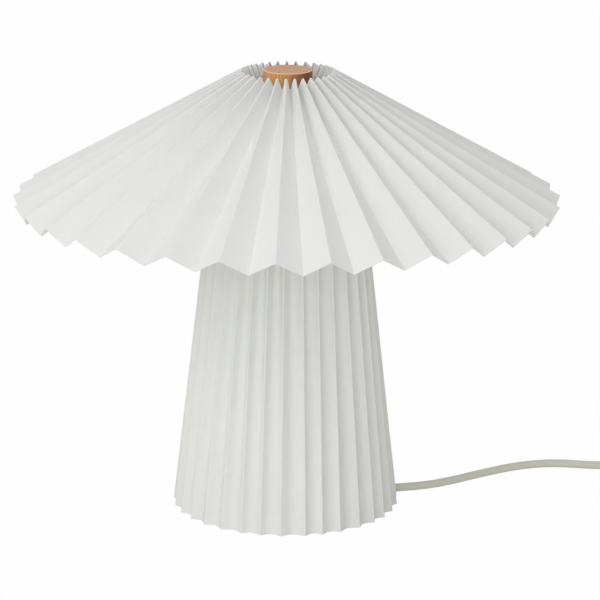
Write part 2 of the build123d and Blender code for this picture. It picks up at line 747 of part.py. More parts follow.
with BuildPart() as cord_clamp:
    with BuildSketch(Plane(origin=polar(CLAMP_R, EXIT_TURN, CLAMP_Z), x_dir=polar(1, EXIT_TURN + 90))):
        RectangleRounded(CLAMP_L, CLAMP_W, 3)
    extrude(amount=PLATE_Z - CLAMP_Z)
    # The hollow that the flex is pressed by.
    with BuildSketch(groove_plane(CLAMP_R - CLAMP_W)):
        with Locations((0, EXIT_Z)):
            Circle(CORD_R)
    extrude(amount=2 * CLAMP_W, mode=Mode.SUBTRACT)
    for x, y in clamp_screw_spots:
        with Locations(Plane(origin=(x, y, CLAMP_Z), z_dir=(0, 0, -1))):
            CounterSinkHole(CLAMP_SCREW_R + 0.05, CLAMP_SCREW_HEAD_R + 0.05, PLATE_Z, 90)
save(cord_clamp, "cord_clamp")

with BuildPart() as clamp_screws:
    for x, y in clamp_screw_spots:
        screw(x, y, CLAMP_Z + 0.05, CLAMP_SCREW_TIP_Z - 0.2, CLAMP_SCREW_R - 0.05, CLAMP_SCREW_HEAD_R - 0.05)
save(clamp_screws, "clamp_screws")

LEAD_SIDE = 1.6
LEAD_TURN_Z = NIPPLE_TOP_Z + 3.0
LEAD_BEND = 8.0

with BuildPart() as lead_wires:
    for side in (-1, 1):
        across = polar(side * LEAD_SIDE, EXIT_TURN + 90)
        start = polar(FLEX_END_R, EXIT_TURN, EXIT_Z)
        bent_wire(
            (
                (start[0] + across[0], start[1] + across[1], EXIT_Z),
                (across[0], across[1], EXIT_Z),
                (across[0], across[1], LEAD_TURN_Z),
                (side * TERMINAL_X, 0, INSERT_BOTTOM_Z - 1.2),
            ),
            LEAD_R,
            LEAD_BEND,
        )
save(lead_wires, "lead_wires")

# ---------------------------------------------------------------- the flex on the table

def corner_radii(points):
    """The largest arc for each corner: 0.45 of its shorter run, over the tangent of half the turn."""
    radii = []
    for before, corner, after in zip(points, points[1:], points[2:]):
        first = Vector(*corner) - Vector(*before)
        second = Vector(*after) - Vector(*corner)
        half_turn = radians(first.get_angle(second)) / 2
        radii.append(0.45 * min(first.length, second.length) / tan(half_turn))
    return radii


def cord(points, name):
    """Makes a stretch of the flex along a route, and prints how it bends and what it weighs in at."""
    radii = corner_radii(points)
    with BuildPart() as stretch:
        with BuildLine() as path:
            FilletPolyline(*points, radius=radii)
        with BuildSketch(Plane(origin=path.line @ 0, z_dir=path.line % 0)):
            Circle(CORD_R)
        sweep(path=path.line)
    length = path.wires()[0].length
    print(name, "length", round(length, 1), "radii", [round(r) for r in radii])
    print(name, "volume", round(stretch.part.volume), "of", round(pi * CORD_R**2 * length))
    save(stretch, name)
    return length


def beside_switch(away):
    """A point on the flex's line through the switch, at a distance from the switch's middle."""
    turn = radians(SWITCH_TURN)
    return (SWITCH_X + away * cos(turn), SWITCH_Y + away * sin(turn), SWITCH_CORD_Z)


SWITCH_NEAR_SIDE = beside_switch(-SWITCH_L / 2)
SWITCH_FAR_SIDE = beside_switch(SWITCH_L / 2)
COIL_START = (COIL_X + COIL_OUTER_R, COIL_Y + CORD_D, COIL_LOW_Z)
COIL_END = (COIL_X + COIL_OUTER_R, COIL_Y - CORD_D, COIL_HIGH_Z)

# The routes are corners of straight runs; every corner is rounded as far as its runs allow.
RUN_ROUTE = [
    polar(GROOVE_EXIT_R, EXIT_TURN, EXIT_Z),
    polar(107.0, EXIT_TURN, EXIT_Z),
    (130.0, 35.0, CORD_R),
    (157.0, 54.2, CORD_R),
    (188.0, 74.0, CORD_R),
    (218.0, 82.0, CORD_R),
    (250.0, 77.5, CORD_R),
    (272.4, 72.7, SWITCH_CORD_Z),
    SWITCH_NEAR_SIDE,
]
LINK_ROUTE = [
    SWITCH_FAR_SIDE,
    beside_switch(SWITCH_L / 2 + 20),
    (387.0, 36.5, 4.8),
    (394.2, 14.0, COIL_LOW_Z),
    (COIL_START[0], -3.0, COIL_LOW_Z),
    COIL_START,
]
END_ROUTE = [
    COIL_END,
    (COIL_END[0], -54.0, COIL_HIGH_Z),
    (389.0, -79.0, 4.4),
    (385.0, -103.0, CORD_R),
    (PLUG_X, -126.0, PLUG_Z),
    (PLUG_X, PLUG_Y, PLUG_Z),
]

run_length = cord(RUN_ROUTE, "cord_run")
link_length = cord(LINK_ROUTE, "cord_link")
end_length = cord(END_ROUTE, "cord_end")

# ---------------------------------------------------------------- the coil


def coil_point(turn):
    """The flex's middle after so many turns of the coil, and the direction that it runs in."""
    inward = turn <= COIL_TURNS / 2
    radius = COIL_OUTER_R - COIL_STEP * min(turn, COIL_TURNS - turn)
    angle = -2 * pi * turn
    layer_z = COIL_LOW_Z if inward else COIL_HIGH_Z
    point = Vector(COIL_X + radius * cos(angle), COIL_Y + radius * sin(angle), layer_z)
    drift = 0.0
    if 0 < turn < COIL_TURNS:
        drift = -COIL_STEP if inward else COIL_STEP
    round_rate = -2 * pi * radius
    heading = Vector(
        drift * cos(angle) - round_rate * sin(angle),
        drift * sin(angle) + round_rate * cos(angle),
        0,
    )
    return point, heading.normalized()


def biarc(start, start_heading, end, end_heading):
    """Adds two tangent arcs from one point and heading to another."""
    chord = end - start
    both = start_heading + end_heading
    bend = 2 * (1 - start_heading.dot(end_heading))
    reach = (sqrt(chord.dot(both) ** 2 + bend * chord.dot(chord)) - chord.dot(both)) / bend
    middle = (start + end + (start_heading - end_heading) * reach) * 0.5
    middle_heading = (chord - both * reach).normalized()
    TangentArc(start, middle, tangent=start_heading)
    TangentArc(middle, end, tangent=middle_heading)


half_turns = int(2 * COIL_TURNS) - 1
coil_stops = [0.0] + [0.25 + k / 2 for k in range(half_turns + 1)] + [COIL_TURNS]

with BuildPart() as cord_coil:
    with BuildLine() as coil_path:
        Line(COIL_START, coil_point(0)[0])
        for now, after in zip(coil_stops, coil_stops[1:]):
            biarc(*coil_point(now), *coil_point(after))
        Line(coil_point(COIL_TURNS)[0], COIL_END)
    with BuildSketch(Plane(origin=COIL_START, z_dir=(0, -1, 0))):
        Circle(CORD_R)
    sweep(path=coil_path.wires()[0])
save(cord_coil, "cord_coil")


def least_gap(wire, thickness, samples):
    """The least clear space between a tube's turns, measured on points along its middle."""
    points = [wire @ (k / samples) for k in range(samples + 1)]
    apart = int(3 * thickness / (wire.length / samples)) + 1
    nearest = min(
        (points[i] - points[j]).length
        for i in range(len(points))
        for j in range(i + apart, len(points))
    )
    return nearest - thickness


coil_wire = coil_path.wires()[0]
coil_length = coil_wire.length
print("coil length", round(coil_length), "volume", round(cord_coil.part.volume))
print("coil's section times its length", round(pi * CORD_R**2 * coil_length))
print("coil's least gap", round(least_gap(coil_wire, CORD_D, 700), 2))
print("whole flex", round(run_length + SWITCH_L + link_length + coil_length + end_length))

TIE_SLACK = 0.45
TIE_CORNER = 3.0
tie_turn = 2.5  # here both layers' turns lie one above the other
tie_in = COIL_OUTER_R - COIL_STEP * tie_turn - CORD_R - TIE_SLACK
tie_out = COIL_OUTER_R - COIL_STEP * (tie_turn - 2) + CORD_R + TIE_SLACK
tie_top = COIL_HIGH_Z + CORD_R + TIE_SLACK

with BuildPart() as cord_tie:
    tie_width_in = tie_out - tie_in
    tie_middle = (tie_in + tie_out) / 2
    with BuildSketch(Plane(origin=(COIL_X - tie_middle, COIL_Y, 0), x_dir=(-1, 0, 0), z_dir=(0, 1, 0))):
        with Locations((0, (TIE_STRAP + tie_top) / 2)):
            RectangleRounded(tie_width_in + 2 * TIE_STRAP, tie_top + TIE_STRAP, TIE_CORNER)
            RectangleRounded(tie_width_in, tie_top - TIE_STRAP, TIE_CORNER - TIE_STRAP, mode=Mode.SUBTRACT)
    extrude(amount=TIE_WIDTH / 2, both=True)
    # The strap's end lies flat on its own top.
    with BuildSketch(Plane.XY.offset(tie_top + TIE_STRAP)):
        with Locations((COIL_X - tie_middle + 2, COIL_Y)):
            Rectangle(tie_width_in * 0.6, TIE_WIDTH)
    extrude(amount=TIE_STRAP)
save(cord_tie, "cord_tie")

# ---------------------------------------------------------------- the plug

PLUG_NECK = 10.0
PLUG_BODY_Y = PLUG_Y - PLUG_BOOT_L
PLUG_FACE_Y = PLUG_BODY_Y - PLUG_BODY_L
PLUG_SECTIONS = [(0.0, PLUG_NECK, PLUG_NECK), (0.45, 27.0, 12.6), (1.0, PLUG_W, PLUG_T)]


def plug_plane(y):
    """An upright plane across the plug."""
    return Plane(origin=(PLUG_X, y, PLUG_Z), x_dir=(1, 0, 0), z_dir=(0, -1, 0))


with BuildPart() as plug_body:
    with BuildSketch(plug_plane(PLUG_Y)):
        Circle(CORD_R + 0.9)
    with BuildSketch(plug_plane(PLUG_BODY_Y)):
        Circle(PLUG_NECK / 2 - 0.4)
    loft()
    for share, width, height in PLUG_SECTIONS:
        with BuildSketch(plug_plane(PLUG_BODY_Y - share * PLUG_BODY_L)):
            RectangleRounded(width, height, PLUG_NECK / 2 - 0.2)
    loft(ruled=True)
save(plug_body, "plug_body")

with BuildPart() as plug_pins:
    with BuildSketch(plug_plane(PLUG_FACE_Y)):
        with Locations((-PIN_GAP / 2, 0), (PIN_GAP / 2, 0)):
            Circle(PIN_R)
    extrude(amount=PIN_L)
    fillet(plug_pins.edges().filter_by(GeomType.CIRCLE).group_by(Axis.Y)[0], 1.2)
save(plug_pins, "plug_pins")

# ---------------------------------------------------------------- the in-line switch

SWITCH_CORNER = SWITCH_W / 2 - 0.5
WINDOW_L = ROCKER_L + 0.8
WINDOW_W = ROCKER_W + 0.8
AXLE_R = 1.2
AXLE_L = 1.6
SWITCH_SCREW_OUT = SWITCH_L / 2 - 7.0
SWITCH_SCREW_SIDE = 7.0


def switch_plane(z):
    """A level plane on the switch, with X along its long side."""
    return Plane(
        origin=(SWITCH_X, SWITCH_Y, z),
        x_dir=(cos(radians(SWITCH_TURN)), sin(radians(SWITCH_TURN)), 0),
    )


def switch_side_plane(away=0.0):
    """An upright plane along the switch's middle, or beside it, with X along the switch."""
    level = switch_plane(0)
    return Plane(origin=level.from_local_coords(Vector(0, away, 0)), x_dir=level.x_dir, z_dir=-level.y_dir)


def switch_spots():
    """The places of the two screws, at opposite corners."""
    level = switch_plane(0)
    spots = [Vector(side * SWITCH_SCREW_OUT, side * SWITCH_SCREW_SIDE, 0) for side in (-1, 1)]
    return [tuple(level.from_local_coords(spot))[:2] for spot in spots]


with BuildPart() as switch_base:
    with BuildSketch(switch_plane(0)):
        RectangleRounded(SWITCH_L, SWITCH_W, SWITCH_CORNER)
    extrude(amount=SWITCH_SPLIT_Z)
    chamfer(switch_base.edges().group_by(Axis.Z)[0], 1.0)
    with BuildSketch(switch_plane(SWITCH_WALL)):
        RectangleRounded(SWITCH_L - 2 * SWITCH_WALL, SWITCH_W - 2 * SWITCH_WALL, SWITCH_CORNER - SWITCH_WALL)
    extrude(amount=SWITCH_SPLIT_Z, mode=Mode.SUBTRACT)
    for x, y in switch_spots():
        with BuildSketch(Plane.XY):
            with Locations((x, y)):
                Circle(2.9)
        extrude(amount=SWITCH_SPLIT_Z)
        with Locations(Plane(origin=(x, y, 0), z_dir=(0, 0, -1))):
            CounterSinkHole(1.3, 2.4, SWITCH_SPLIT_Z, 90)
save(switch_base, "switch_base")

with BuildPart() as switch_cover:
    with BuildSketch(switch_plane(SWITCH_SPLIT_Z)):
        RectangleRounded(SWITCH_L, SWITCH_W, SWITCH_CORNER)
    extrude(amount=SWITCH_H - SWITCH_SPLIT_Z)
    fillet(switch_cover.edges().group_by(Axis.Z)[-1], 2.5)
    with BuildSketch(switch_plane(SWITCH_SPLIT_Z)):
        RectangleRounded(SWITCH_L - 2 * SWITCH_WALL, SWITCH_W - 2 * SWITCH_WALL, SWITCH_CORNER - SWITCH_WALL)
    extrude(amount=SWITCH_H - SWITCH_SPLIT_Z - SWITCH_WALL, mode=Mode.SUBTRACT)
    with BuildSketch(switch_plane(SWITCH_SPLIT_Z)):
        Rectangle(WINDOW_L, WINDOW_W)
    extrude(amount=SWITCH_H, mode=Mode.SUBTRACT)
    # Two cheeks hang from the cover beside the window and carry the rocker's axle.
    for side in (-1, 1):
        with BuildSketch(switch_plane(SWITCH_SPLIT_Z + 1)):
            with Locations((0, side * (WINDOW_W / 2 + 0.9))):
                Rectangle(7, 1.8)
        extrude(amount=SWITCH_H - SWITCH_SPLIT_Z - 2)
    with BuildSketch(switch_side_plane()):
        with Locations((0, ROCKER_Z)):
            Circle(AXLE_R + 0.05)
    extrude(amount=WINDOW_W / 2 + 1.5, both=True, mode=Mode.SUBTRACT)
    for x, y in switch_spots():
        with BuildSketch(Plane.XY.offset(SWITCH_SPLIT_Z)):
            with Locations((x, y)):
                Circle(2.4)
        extrude(amount=SWITCH_H - SWITCH_SPLIT_Z - 1)
        with BuildSketch(Plane.XY.offset(SWITCH_SPLIT_Z)):
            with Locations((x, y)):
                Circle(1.2)
        extrude(amount=5, mode=Mode.SUBTRACT)
save(switch_cover, "switch_cover")

with BuildPart() as switch_screws:
    for x, y in switch_spots():
        screw(x, y, 0.3, SWITCH_SPLIT_Z + 4.8, 1.15, 2.1)
save(switch_screws, "switch_screws")

with BuildPart() as switch_rocker:
    # The key's two halves slope down to the middle, and the rest pose is pressed at one end.
    upright = switch_side_plane()
    tilted = Plane(
        origin=upright.from_local_coords(Vector(0, ROCKER_Z, 0)),
        x_dir=upright.x_dir.rotate(Axis((0, 0, 0), tuple(upright.z_dir)), ROCKER_TILT),
        z_dir=upright.z_dir,
    )
    with BuildSketch(tilted):
        with BuildLine():
            Polyline(
                (-ROCKER_L / 2 + 0.4, 4.6),
                (0, 3.2),
                (ROCKER_L / 2 - 0.4, 4.6),
                (ROCKER_L / 2 - 0.4, 0.4),
                (4, -2.4),
                (-4, -2.4),
                (-ROCKER_L / 2 + 0.4, 0.4),
                close=True,
            )
        make_face()
    extrude(amount=ROCKER_W / 2, both=True)
    with BuildSketch(tilted):
        Circle(AXLE_R)
    extrude(amount=ROCKER_W / 2 + AXLE_L, both=True)
save(switch_rocker, "switch_rocker")

with BuildPart() as switch_terminals:
    for side in (-1, 1):
        with BuildSketch(switch_plane(SWITCH_WALL)):
            with Locations((side * 15, -side * 3)):
                Rectangle(8, 5)
        extrude(amount=5)
save(switch_terminals, "switch_terminals")
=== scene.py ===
"""Looks of the pleated paper table lamp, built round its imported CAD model.

A wide pleated shade and a tapering pleated sleeve are folded here from their fold lines, with
soft bends and the small unevenness of hand-set pleats. The flex is one smooth line from the foot
through its rocker switch and its tied coil to the plug. Everything else is the CAD model's own
solid with the finish of the real part. Lengths are in metres unless a name says otherwise.
"""

from __future__ import annotations

import logging
import math
import random
from dataclasses import dataclass
from typing import Any, Sequence

import bpy
import numpy as np
from mathutils import Euler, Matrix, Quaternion, Vector

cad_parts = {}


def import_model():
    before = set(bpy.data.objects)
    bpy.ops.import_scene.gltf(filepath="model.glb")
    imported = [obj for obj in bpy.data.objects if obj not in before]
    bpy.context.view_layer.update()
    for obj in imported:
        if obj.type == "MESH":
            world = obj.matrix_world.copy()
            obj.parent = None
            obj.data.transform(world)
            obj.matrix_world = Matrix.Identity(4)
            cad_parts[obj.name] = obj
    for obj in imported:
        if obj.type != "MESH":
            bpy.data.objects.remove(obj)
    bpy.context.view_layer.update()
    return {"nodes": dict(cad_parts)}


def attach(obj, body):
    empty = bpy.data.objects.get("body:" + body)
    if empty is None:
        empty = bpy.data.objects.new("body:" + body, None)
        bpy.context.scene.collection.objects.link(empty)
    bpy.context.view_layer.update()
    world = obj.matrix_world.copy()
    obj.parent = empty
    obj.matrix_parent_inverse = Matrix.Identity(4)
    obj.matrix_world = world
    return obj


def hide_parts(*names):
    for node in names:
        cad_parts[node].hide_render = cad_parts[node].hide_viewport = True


LOG = logging.getLogger("lamp")
MM = 0.001
SEED = 11
# The lampshade paper's thickness.
PAPER = 0.5 * MM
# The direction in which the flex leaves the foot, in degrees.
EXIT_TURN = 10.5
# How often a fold's corner is pushed out, until its bend reaches the fold itself.
FOLD_PASSES = 12
# The most of a facet's length that a bend may take up.
BEND_ROOM = 0.75

Colour = tuple[float, float, float, float]
Node = bpy.types.ShaderNode
Socket = bpy.types.NodeSocket
Point = tuple[float, float, float]


# ---------------------------------------------------------------- shared helpers


def linear(hex_colour: str) -> Colour:
    """Turns an sRGB hex colour to linear light.

    Args:
        hex_colour: The colour as "#RRGGBB".

    Returns:
        The linear red, green, blue and an alpha of 1.
    """
    channels = []
    for start in (1, 3, 5):
        value = int(hex_colour[start : start + 2], 16) / 255
        channels.append(value / 12.92 if value <= 0.04045 else ((value + 0.055) / 1.055) ** 2.4)
    return (channels[0], channels[1], channels[2], 1.0)


def add_node(tree: bpy.types.NodeTree, kind: str, inputs: dict[Any, Any], **settings: Any) -> Node:
    """Adds a shader node with its settings and links.

    Args:
        tree: The node tree.
        kind: The node's Blender type.
        inputs: A value or an output socket for each named or numbered input.
        **settings: The node's own properties.

    Returns:
        The new node.
    """
    node = tree.nodes.new(kind)
    for name, value in settings.items():
        setattr(node, name, value)
    for name, value in inputs.items():
        if isinstance(value, bpy.types.NodeSocket):
            tree.links.new(value, node.inputs[name])
        else:
            node.inputs[name].default_value = value
    return node


def polar(radius: float, turn: float, height: float = 0.0) -> Vector:
    """Gives a point at a radius and a direction in degrees from the lamp's axis."""
    angle = math.radians(turn)
    return Vector((radius * math.cos(angle), radius * math.sin(angle), height))


def new_object(name: str, data: bpy.types.ID) -> bpy.types.Object:
    """Links a new object with this data to the scene."""
    made = bpy.data.objects.new(name, data)
    bpy.context.scene.collection.objects.link(made)
    return made


# ---------------------------------------------------------------- finishes


@dataclass(frozen=True)
class Finish:
    """What every surface finish has: its name, its colour and its plain shader values."""

    name: str
    colour: str
    roughness: float = 0.5
    metallic: float = 0.0

    def shader(self, tree: bpy.types.NodeTree) -> Node:
        """Adds the main shader with this finish's plain values, and wires it to the output."""
        tree.nodes.clear()
        shader = add_node(
            tree,
            "ShaderNodeBsdfPrincipled",
            {
                "Base Color": linear(self.colour),
                "Roughness": self.roughness,
                "Metallic": self.metallic,
            },
        )
        add_node(tree, "ShaderNodeOutputMaterial", {"Surface": shader.outputs["BSDF"]})
        return shader

    def detail(self, tree: bpy.types.NodeTree, shader: Node) -> None:
        """Adds the pattern that this finish shows."""

    def material(self) -> bpy.types.Material:
        """Gives the finish's material, made once. Its name is apart from the CAD model's own."""
        name = f"{self.name}_finish"
        made = bpy.data.materials.get(name)
        if made is None:
            made = bpy.data.materials.new(name)
            made.use_nodes = True
            self.detail(made.node_tree, self.shader(made.node_tree))
        return made


def place_in_mm(tree: bpy.types.NodeTree) -> Socket:
    """Gives the surface point in the lamp's frame in millimetres, for patterns of real size."""
    where = add_node(tree, "ShaderNodeTexCoord", {})
    scaled = add_node(
        tree,
        "ShaderNodeVectorMath",
        {0: where.outputs["Object"], 1: (1000.0, 1000.0, 1000.0)},
        operation="MULTIPLY",
    )
    return scaled.outputs[0]


@dataclass(frozen=True)
class PleatedPaper(Finish):
    """White laminated lampshade paper, calendered matt and creased by a pleating machine.

    The eye sees an even, nearly neutral white with no gloss. Close up there is a faint clouding of
    the pulp, about 6 mm across, and fibres of about half a millimetre that roughen the surface.
    """

    cloud_mm: float = 6.0
    cloud_colour: str = "#F4F4F1"
    fibre_mm: float = 0.5
    fibre_depth_mm: float = 0.05
    fibre_relief: float = 0.12
    sheen_level: float = 0.25
    glow: float = 0.5
    soak_mm: float = 1.5

    def detail(self, tree: bpy.types.NodeTree, shader: Node) -> None:
        """Adds the pulp's clouding and the fibres' relief."""
        place = place_in_mm(tree)
        cloud = add_node(
            tree,
            "ShaderNodeTexNoise",
            {"Vector": place, "Scale": 1 / self.cloud_mm, "Detail": 3.0},
        )
        pulp = add_node(
            tree,
            "ShaderNodeMix",
            {
                "Factor": cloud.outputs["Fac"],
                "A": linear(self.cloud_colour),
                "B": linear(self.colour),
            },
            data_type="RGBA",
        )
        tree.links.new(pulp.outputs["Result"], shader.inputs["Base Color"])
        fibre = add_node(
            tree,
            "ShaderNodeTexNoise",
            {"Vector": place, "Scale": 1 / self.fibre_mm, "Detail": 4.0, "Roughness": 0.6},
        )
        relief = add_node(
            tree,
            "ShaderNodeBump",
            {
                "Height": fibre.outputs["Fac"],
                "Strength": self.fibre_relief,
                "Distance": self.fibre_depth_mm * MM,
            },
        )
        tree.links.new(relief.outputs["Normal"], shader.inputs["Normal"])
        shader.inputs["Specular IOR Level"].default_value = self.sheen_level
        # Light soaks through the thin sheet, so the pleats' shaded sides stay pale.
        shader.inputs["Subsurface Weight"].default_value = self.glow
        shader.inputs["Subsurface Radius"].default_value = (1.0, 1.0, 1.0)
        shader.inputs["Subsurface Scale"].default_value = self.soak_mm * MM


@dataclass(frozen=True)
class PowderCoat(Finish):
    """White polyester powder baked on steel: a soft gloss with orange peel about 0.8 mm across."""

    peel_mm: float = 0.8
    peel_depth_mm: float = 0.05
    peel_relief: float = 0.25

    def detail(self, tree: bpy.types.NodeTree, shader: Node) -> None:
        """Adds the orange peel."""
        peel = add_node(
            tree,
            "ShaderNodeTexNoise",
            {"Vector": place_in_mm(tree), "Scale": 1 / self.peel_mm, "Detail": 1.0},
        )
        relief = add_node(
            tree,
            "ShaderNodeBump",
            {
                "Height": peel.outputs["Fac"],
                "Strength": self.peel_relief,
                "Distance": self.peel_depth_mm * MM,
            },
        )
        tree.links.new(relief.outputs["Normal"], shader.inputs["Normal"])


@dataclass(frozen=True)
class PlatedMetal(Finish):
    """Plated or turned metal: drawing marks about 0.3 mm apart, and duller, handled spots."""

    mark_mm: float = 0.3
    mark_depth_mm: float = 0.03
    mark_relief: float = 0.15
    round_axis: float = 0.05
    dull_mm: float = 7.0
    brightest: float = 0.75
    dullest: float = 1.3

    def detail(self, tree: bpy.types.NodeTree, shader: Node) -> None:
        """Adds the turning marks, drawn out round the axis, and the dull spots."""
        place = place_in_mm(tree)
        flattened = add_node(
            tree,
            "ShaderNodeVectorMath",
            {0: place, 1: (self.round_axis, self.round_axis, 1.0)},
            operation="MULTIPLY",
        )
        marks = add_node(
            tree,
            "ShaderNodeTexNoise",
            {"Vector": flattened.outputs[0], "Scale": 1 / self.mark_mm, "Detail": 2.0},
        )
        spots = add_node(
            tree,
            "ShaderNodeTexNoise",
            {"Vector": place, "Scale": 1 / self.dull_mm, "Detail": 2.0},
        )
        rough = add_node(
            tree,
            "ShaderNodeMapRange",
            {
                "Value": spots.outputs["Fac"],
                "To Min": self.roughness * self.brightest,
                "To Max": self.roughness * self.dullest,
            },
        )
        tree.links.new(rough.outputs["Result"], shader.inputs["Roughness"])
        relief = add_node(
            tree,
            "ShaderNodeBump",
            {
                "Height": marks.outputs["Fac"],
                "Strength": self.mark_relief,
                "Distance": self.mark_depth_mm * MM,
            },
        )
        tree.links.new(relief.outputs["Normal"], shader.inputs["Normal"])


@dataclass(frozen=True)
class OiledWood(Finish):
    """Cherry or beech, turned on a lathe and oiled a warm orange brown, with its grain upright.

    The side shows fine upright grain, darkened by painted shade from the lit left to the right;
    the top is end grain, a little pinker and greyer, with a painted highlight on its rounded edge.
    """

    streak: str = "#C98246"
    # Painted shade: the dark tone and streaks that the side turns to at its right.
    shaded_tone: str = "#845036"
    shaded_streak: str = "#A4693E"
    end_grain: str = "#E2B390"
    end_dark: str = "#CB9875"
    # The painted highlight's colour, for the top's rounded edge.
    edge_highlight: str = "#FFE0BE"
    grain_mm: float = 1.0
    grain_drawn_out: float = 0.06
    pore_mm: float = 0.45
    pore_depth_mm: float = 0.08
    pore_relief: float = 0.2
    radius_mm: float = 18.7
    oil_gloss: float = 0.2

    def side(self, tree: bpy.types.NodeTree, place: Socket, streaks: Socket) -> Socket:
        """Gives the side's colour, darkened by painted shade from the lit left to the right.

        Args:
            tree: The node tree.
            place: The surface point in millimetres.
            streaks: The grain, from 0 to 1.

        Returns:
            The colour.
        """
        lit_tone, shaded_tone = (
            add_node(
                tree,
                "ShaderNodeMix",
                {"Factor": streaks, "A": linear(dark), "B": linear(pale)},
                data_type="RGBA",
            )
            for dark, pale in ((self.streak, self.colour), (self.shaded_tone, self.shaded_streak))
        )
        # Painted shade: the side darkens across X, away from the light at the left.
        spot = add_node(tree, "ShaderNodeSeparateXYZ", {0: place})
        across = add_node(
            tree,
            "ShaderNodeMapRange",
            {
                "Value": spot.outputs["X"],
                "From Min": -0.4 * self.radius_mm,
                "From Max": 0.75 * self.radius_mm,
            },
        )
        side = add_node(
            tree,
            "ShaderNodeMix",
            {
                "Factor": across.outputs["Result"],
                "A": lit_tone.outputs["Result"],
                "B": shaded_tone.outputs["Result"],
            },
            data_type="RGBA",
        )
        return side.outputs["Result"]

    def highlight_band(self, tree: bpy.types.NodeTree, rise: Socket) -> Socket:
        """Gives the painted edge highlight, from 0 to 1, by how far the surface faces up."""
        edge = add_node(
            tree,
            "ShaderNodeMapRange",
            {"Value": rise, "From Min": 0.3, "From Max": 0.6},
        )
        flat = add_node(
            tree,
            "ShaderNodeMapRange",
            {"Value": rise, "From Min": 0.93, "From Max": 0.995, "To Min": 1.0, "To Max": 0.0},
        )
        highlight_share = add_node(
            tree,
            "ShaderNodeMath",
            {0: edge.outputs["Result"], 1: flat.outputs["Result"]},
            operation="MULTIPLY",
        )
        return highlight_share.outputs[0]

    def detail(self, tree: bpy.types.NodeTree, shader: Node) -> None:
        """Adds grain, the side's painted shade, the end grain and the edge's painted highlight."""
        place = place_in_mm(tree)
        drawn_out = add_node(
            tree,
            "ShaderNodeVectorMath",
            {0: place, 1: (1.0, 1.0, self.grain_drawn_out)},
            operation="MULTIPLY",
        )
        grain = add_node(
            tree,
            "ShaderNodeTexNoise",
            {
                "Vector": drawn_out.outputs[0],
                "Scale": 1 / self.grain_mm,
                "Detail": 5.0,
                "Roughness": 0.65,
            },
        )
        pores = add_node(
            tree,
            "ShaderNodeTexNoise",
            {"Vector": drawn_out.outputs[0], "Scale": 1 / self.pore_mm, "Detail": 2.0},
        )
        streaks = add_node(
            tree,
            "ShaderNodeMapRange",
            {"Value": grain.outputs["Fac"], "From Min": 0.35, "From Max": 0.65},
        )
        facing = add_node(tree, "ShaderNodeNewGeometry", {})
        upright = add_node(tree, "ShaderNodeSeparateXYZ", {0: facing.outputs["Normal"]})
        top = add_node(
            tree,
            "ShaderNodeMapRange",
            {"Value": upright.outputs["Z"], "From Min": 0.35, "From Max": 0.75},
        )
        end = add_node(
            tree,
            "ShaderNodeMix",
            {
                "Factor": streaks.outputs["Result"],
                "A": linear(self.end_dark),
                "B": linear(self.end_grain),
            },
            data_type="RGBA",
        )
        both = add_node(
            tree,
            "ShaderNodeMix",
            {
                "Factor": top.outputs["Result"],
                "A": self.side(tree, place, streaks.outputs["Result"]),
                "B": end.outputs["Result"],
            },
            data_type="RGBA",
        )
        # The rounded edge gets a painted highlight, a thin bright line round the top.
        edge_highlight = add_node(
            tree,
            "ShaderNodeMix",
            {
                "Factor": self.highlight_band(tree, upright.outputs["Z"]),
                "A": both.outputs["Result"],
                "B": linear(self.edge_highlight),
            },
            data_type="RGBA",
        )
        tree.links.new(edge_highlight.outputs["Result"], shader.inputs["Base Color"])
        relief = add_node(
            tree,
            "ShaderNodeBump",
            {
                "Height": pores.outputs["Fac"],
                "Strength": self.pore_relief,
                "Distance": self.pore_depth_mm * MM,
            },
        )
        tree.links.new(relief.outputs["Normal"], shader.inputs["Normal"])
        shader.inputs["Specular IOR Level"].default_value = self.oil_gloss


@dataclass(frozen=True)
class MouldedPlastic(Finish):
    """Injection moulded or extruded plastic, with the fine even grain of its eroded mould."""

    grain_mm: float = 0.35
    grain_depth_mm: float = 0.03
    relief: float = 0.2
    glossiest: float = 0.85
    dullest: float = 1.15

    def detail(self, tree: bpy.types.NodeTree, shader: Node) -> None:
        """Adds the mould's grain and a faint change of gloss."""
        place = place_in_mm(tree)
        grain = add_node(
            tree,
            "ShaderNodeTexNoise",
            {"Vector": place, "Scale": 1 / self.grain_mm, "Detail": 2.0},
        )
        rough = add_node(
            tree,
            "ShaderNodeMapRange",
            {
                "Value": grain.outputs["Fac"],
                "To Min": self.roughness * self.glossiest,
                "To Max": min(1.0, self.roughness * self.dullest),
            },
        )
        tree.links.new(rough.outputs["Result"], shader.inputs["Roughness"])
        bump = add_node(
            tree,
            "ShaderNodeBump",
            {
                "Height": grain.outputs["Fac"],
                "Strength": self.relief,
                "Distance": self.grain_depth_mm * MM,
            },
        )
        tree.links.new(bump.outputs["Normal"], shader.inputs["Normal"])


@dataclass(frozen=True)
class OpalGlass(Finish):
    """Blown glass with a white opal layer inside: glossy outside, an even milk white within."""

    cloud_mm: float = 9.0
    cloud_colour: str = "#EFECE4"
    glaze: float = 0.6
    glaze_roughness: float = 0.03

    def detail(self, tree: bpy.types.NodeTree, shader: Node) -> None:
        """Adds the opal layer's slight unevenness."""
        cloud = add_node(
            tree,
            "ShaderNodeTexNoise",
            {"Vector": place_in_mm(tree), "Scale": 1 / self.cloud_mm, "Detail": 2.0},
        )
        milk = add_node(
            tree,
            "ShaderNodeMix",
            {
                "Factor": cloud.outputs["Fac"],
                "A": linear(self.cloud_colour),
                "B": linear(self.colour),
            },
            data_type="RGBA",
        )
        tree.links.new(milk.outputs["Result"], shader.inputs["Base Color"])
        shader.inputs["Coat Weight"].default_value = self.glaze
        shader.inputs["Coat Roughness"].default_value = self.glaze_roughness


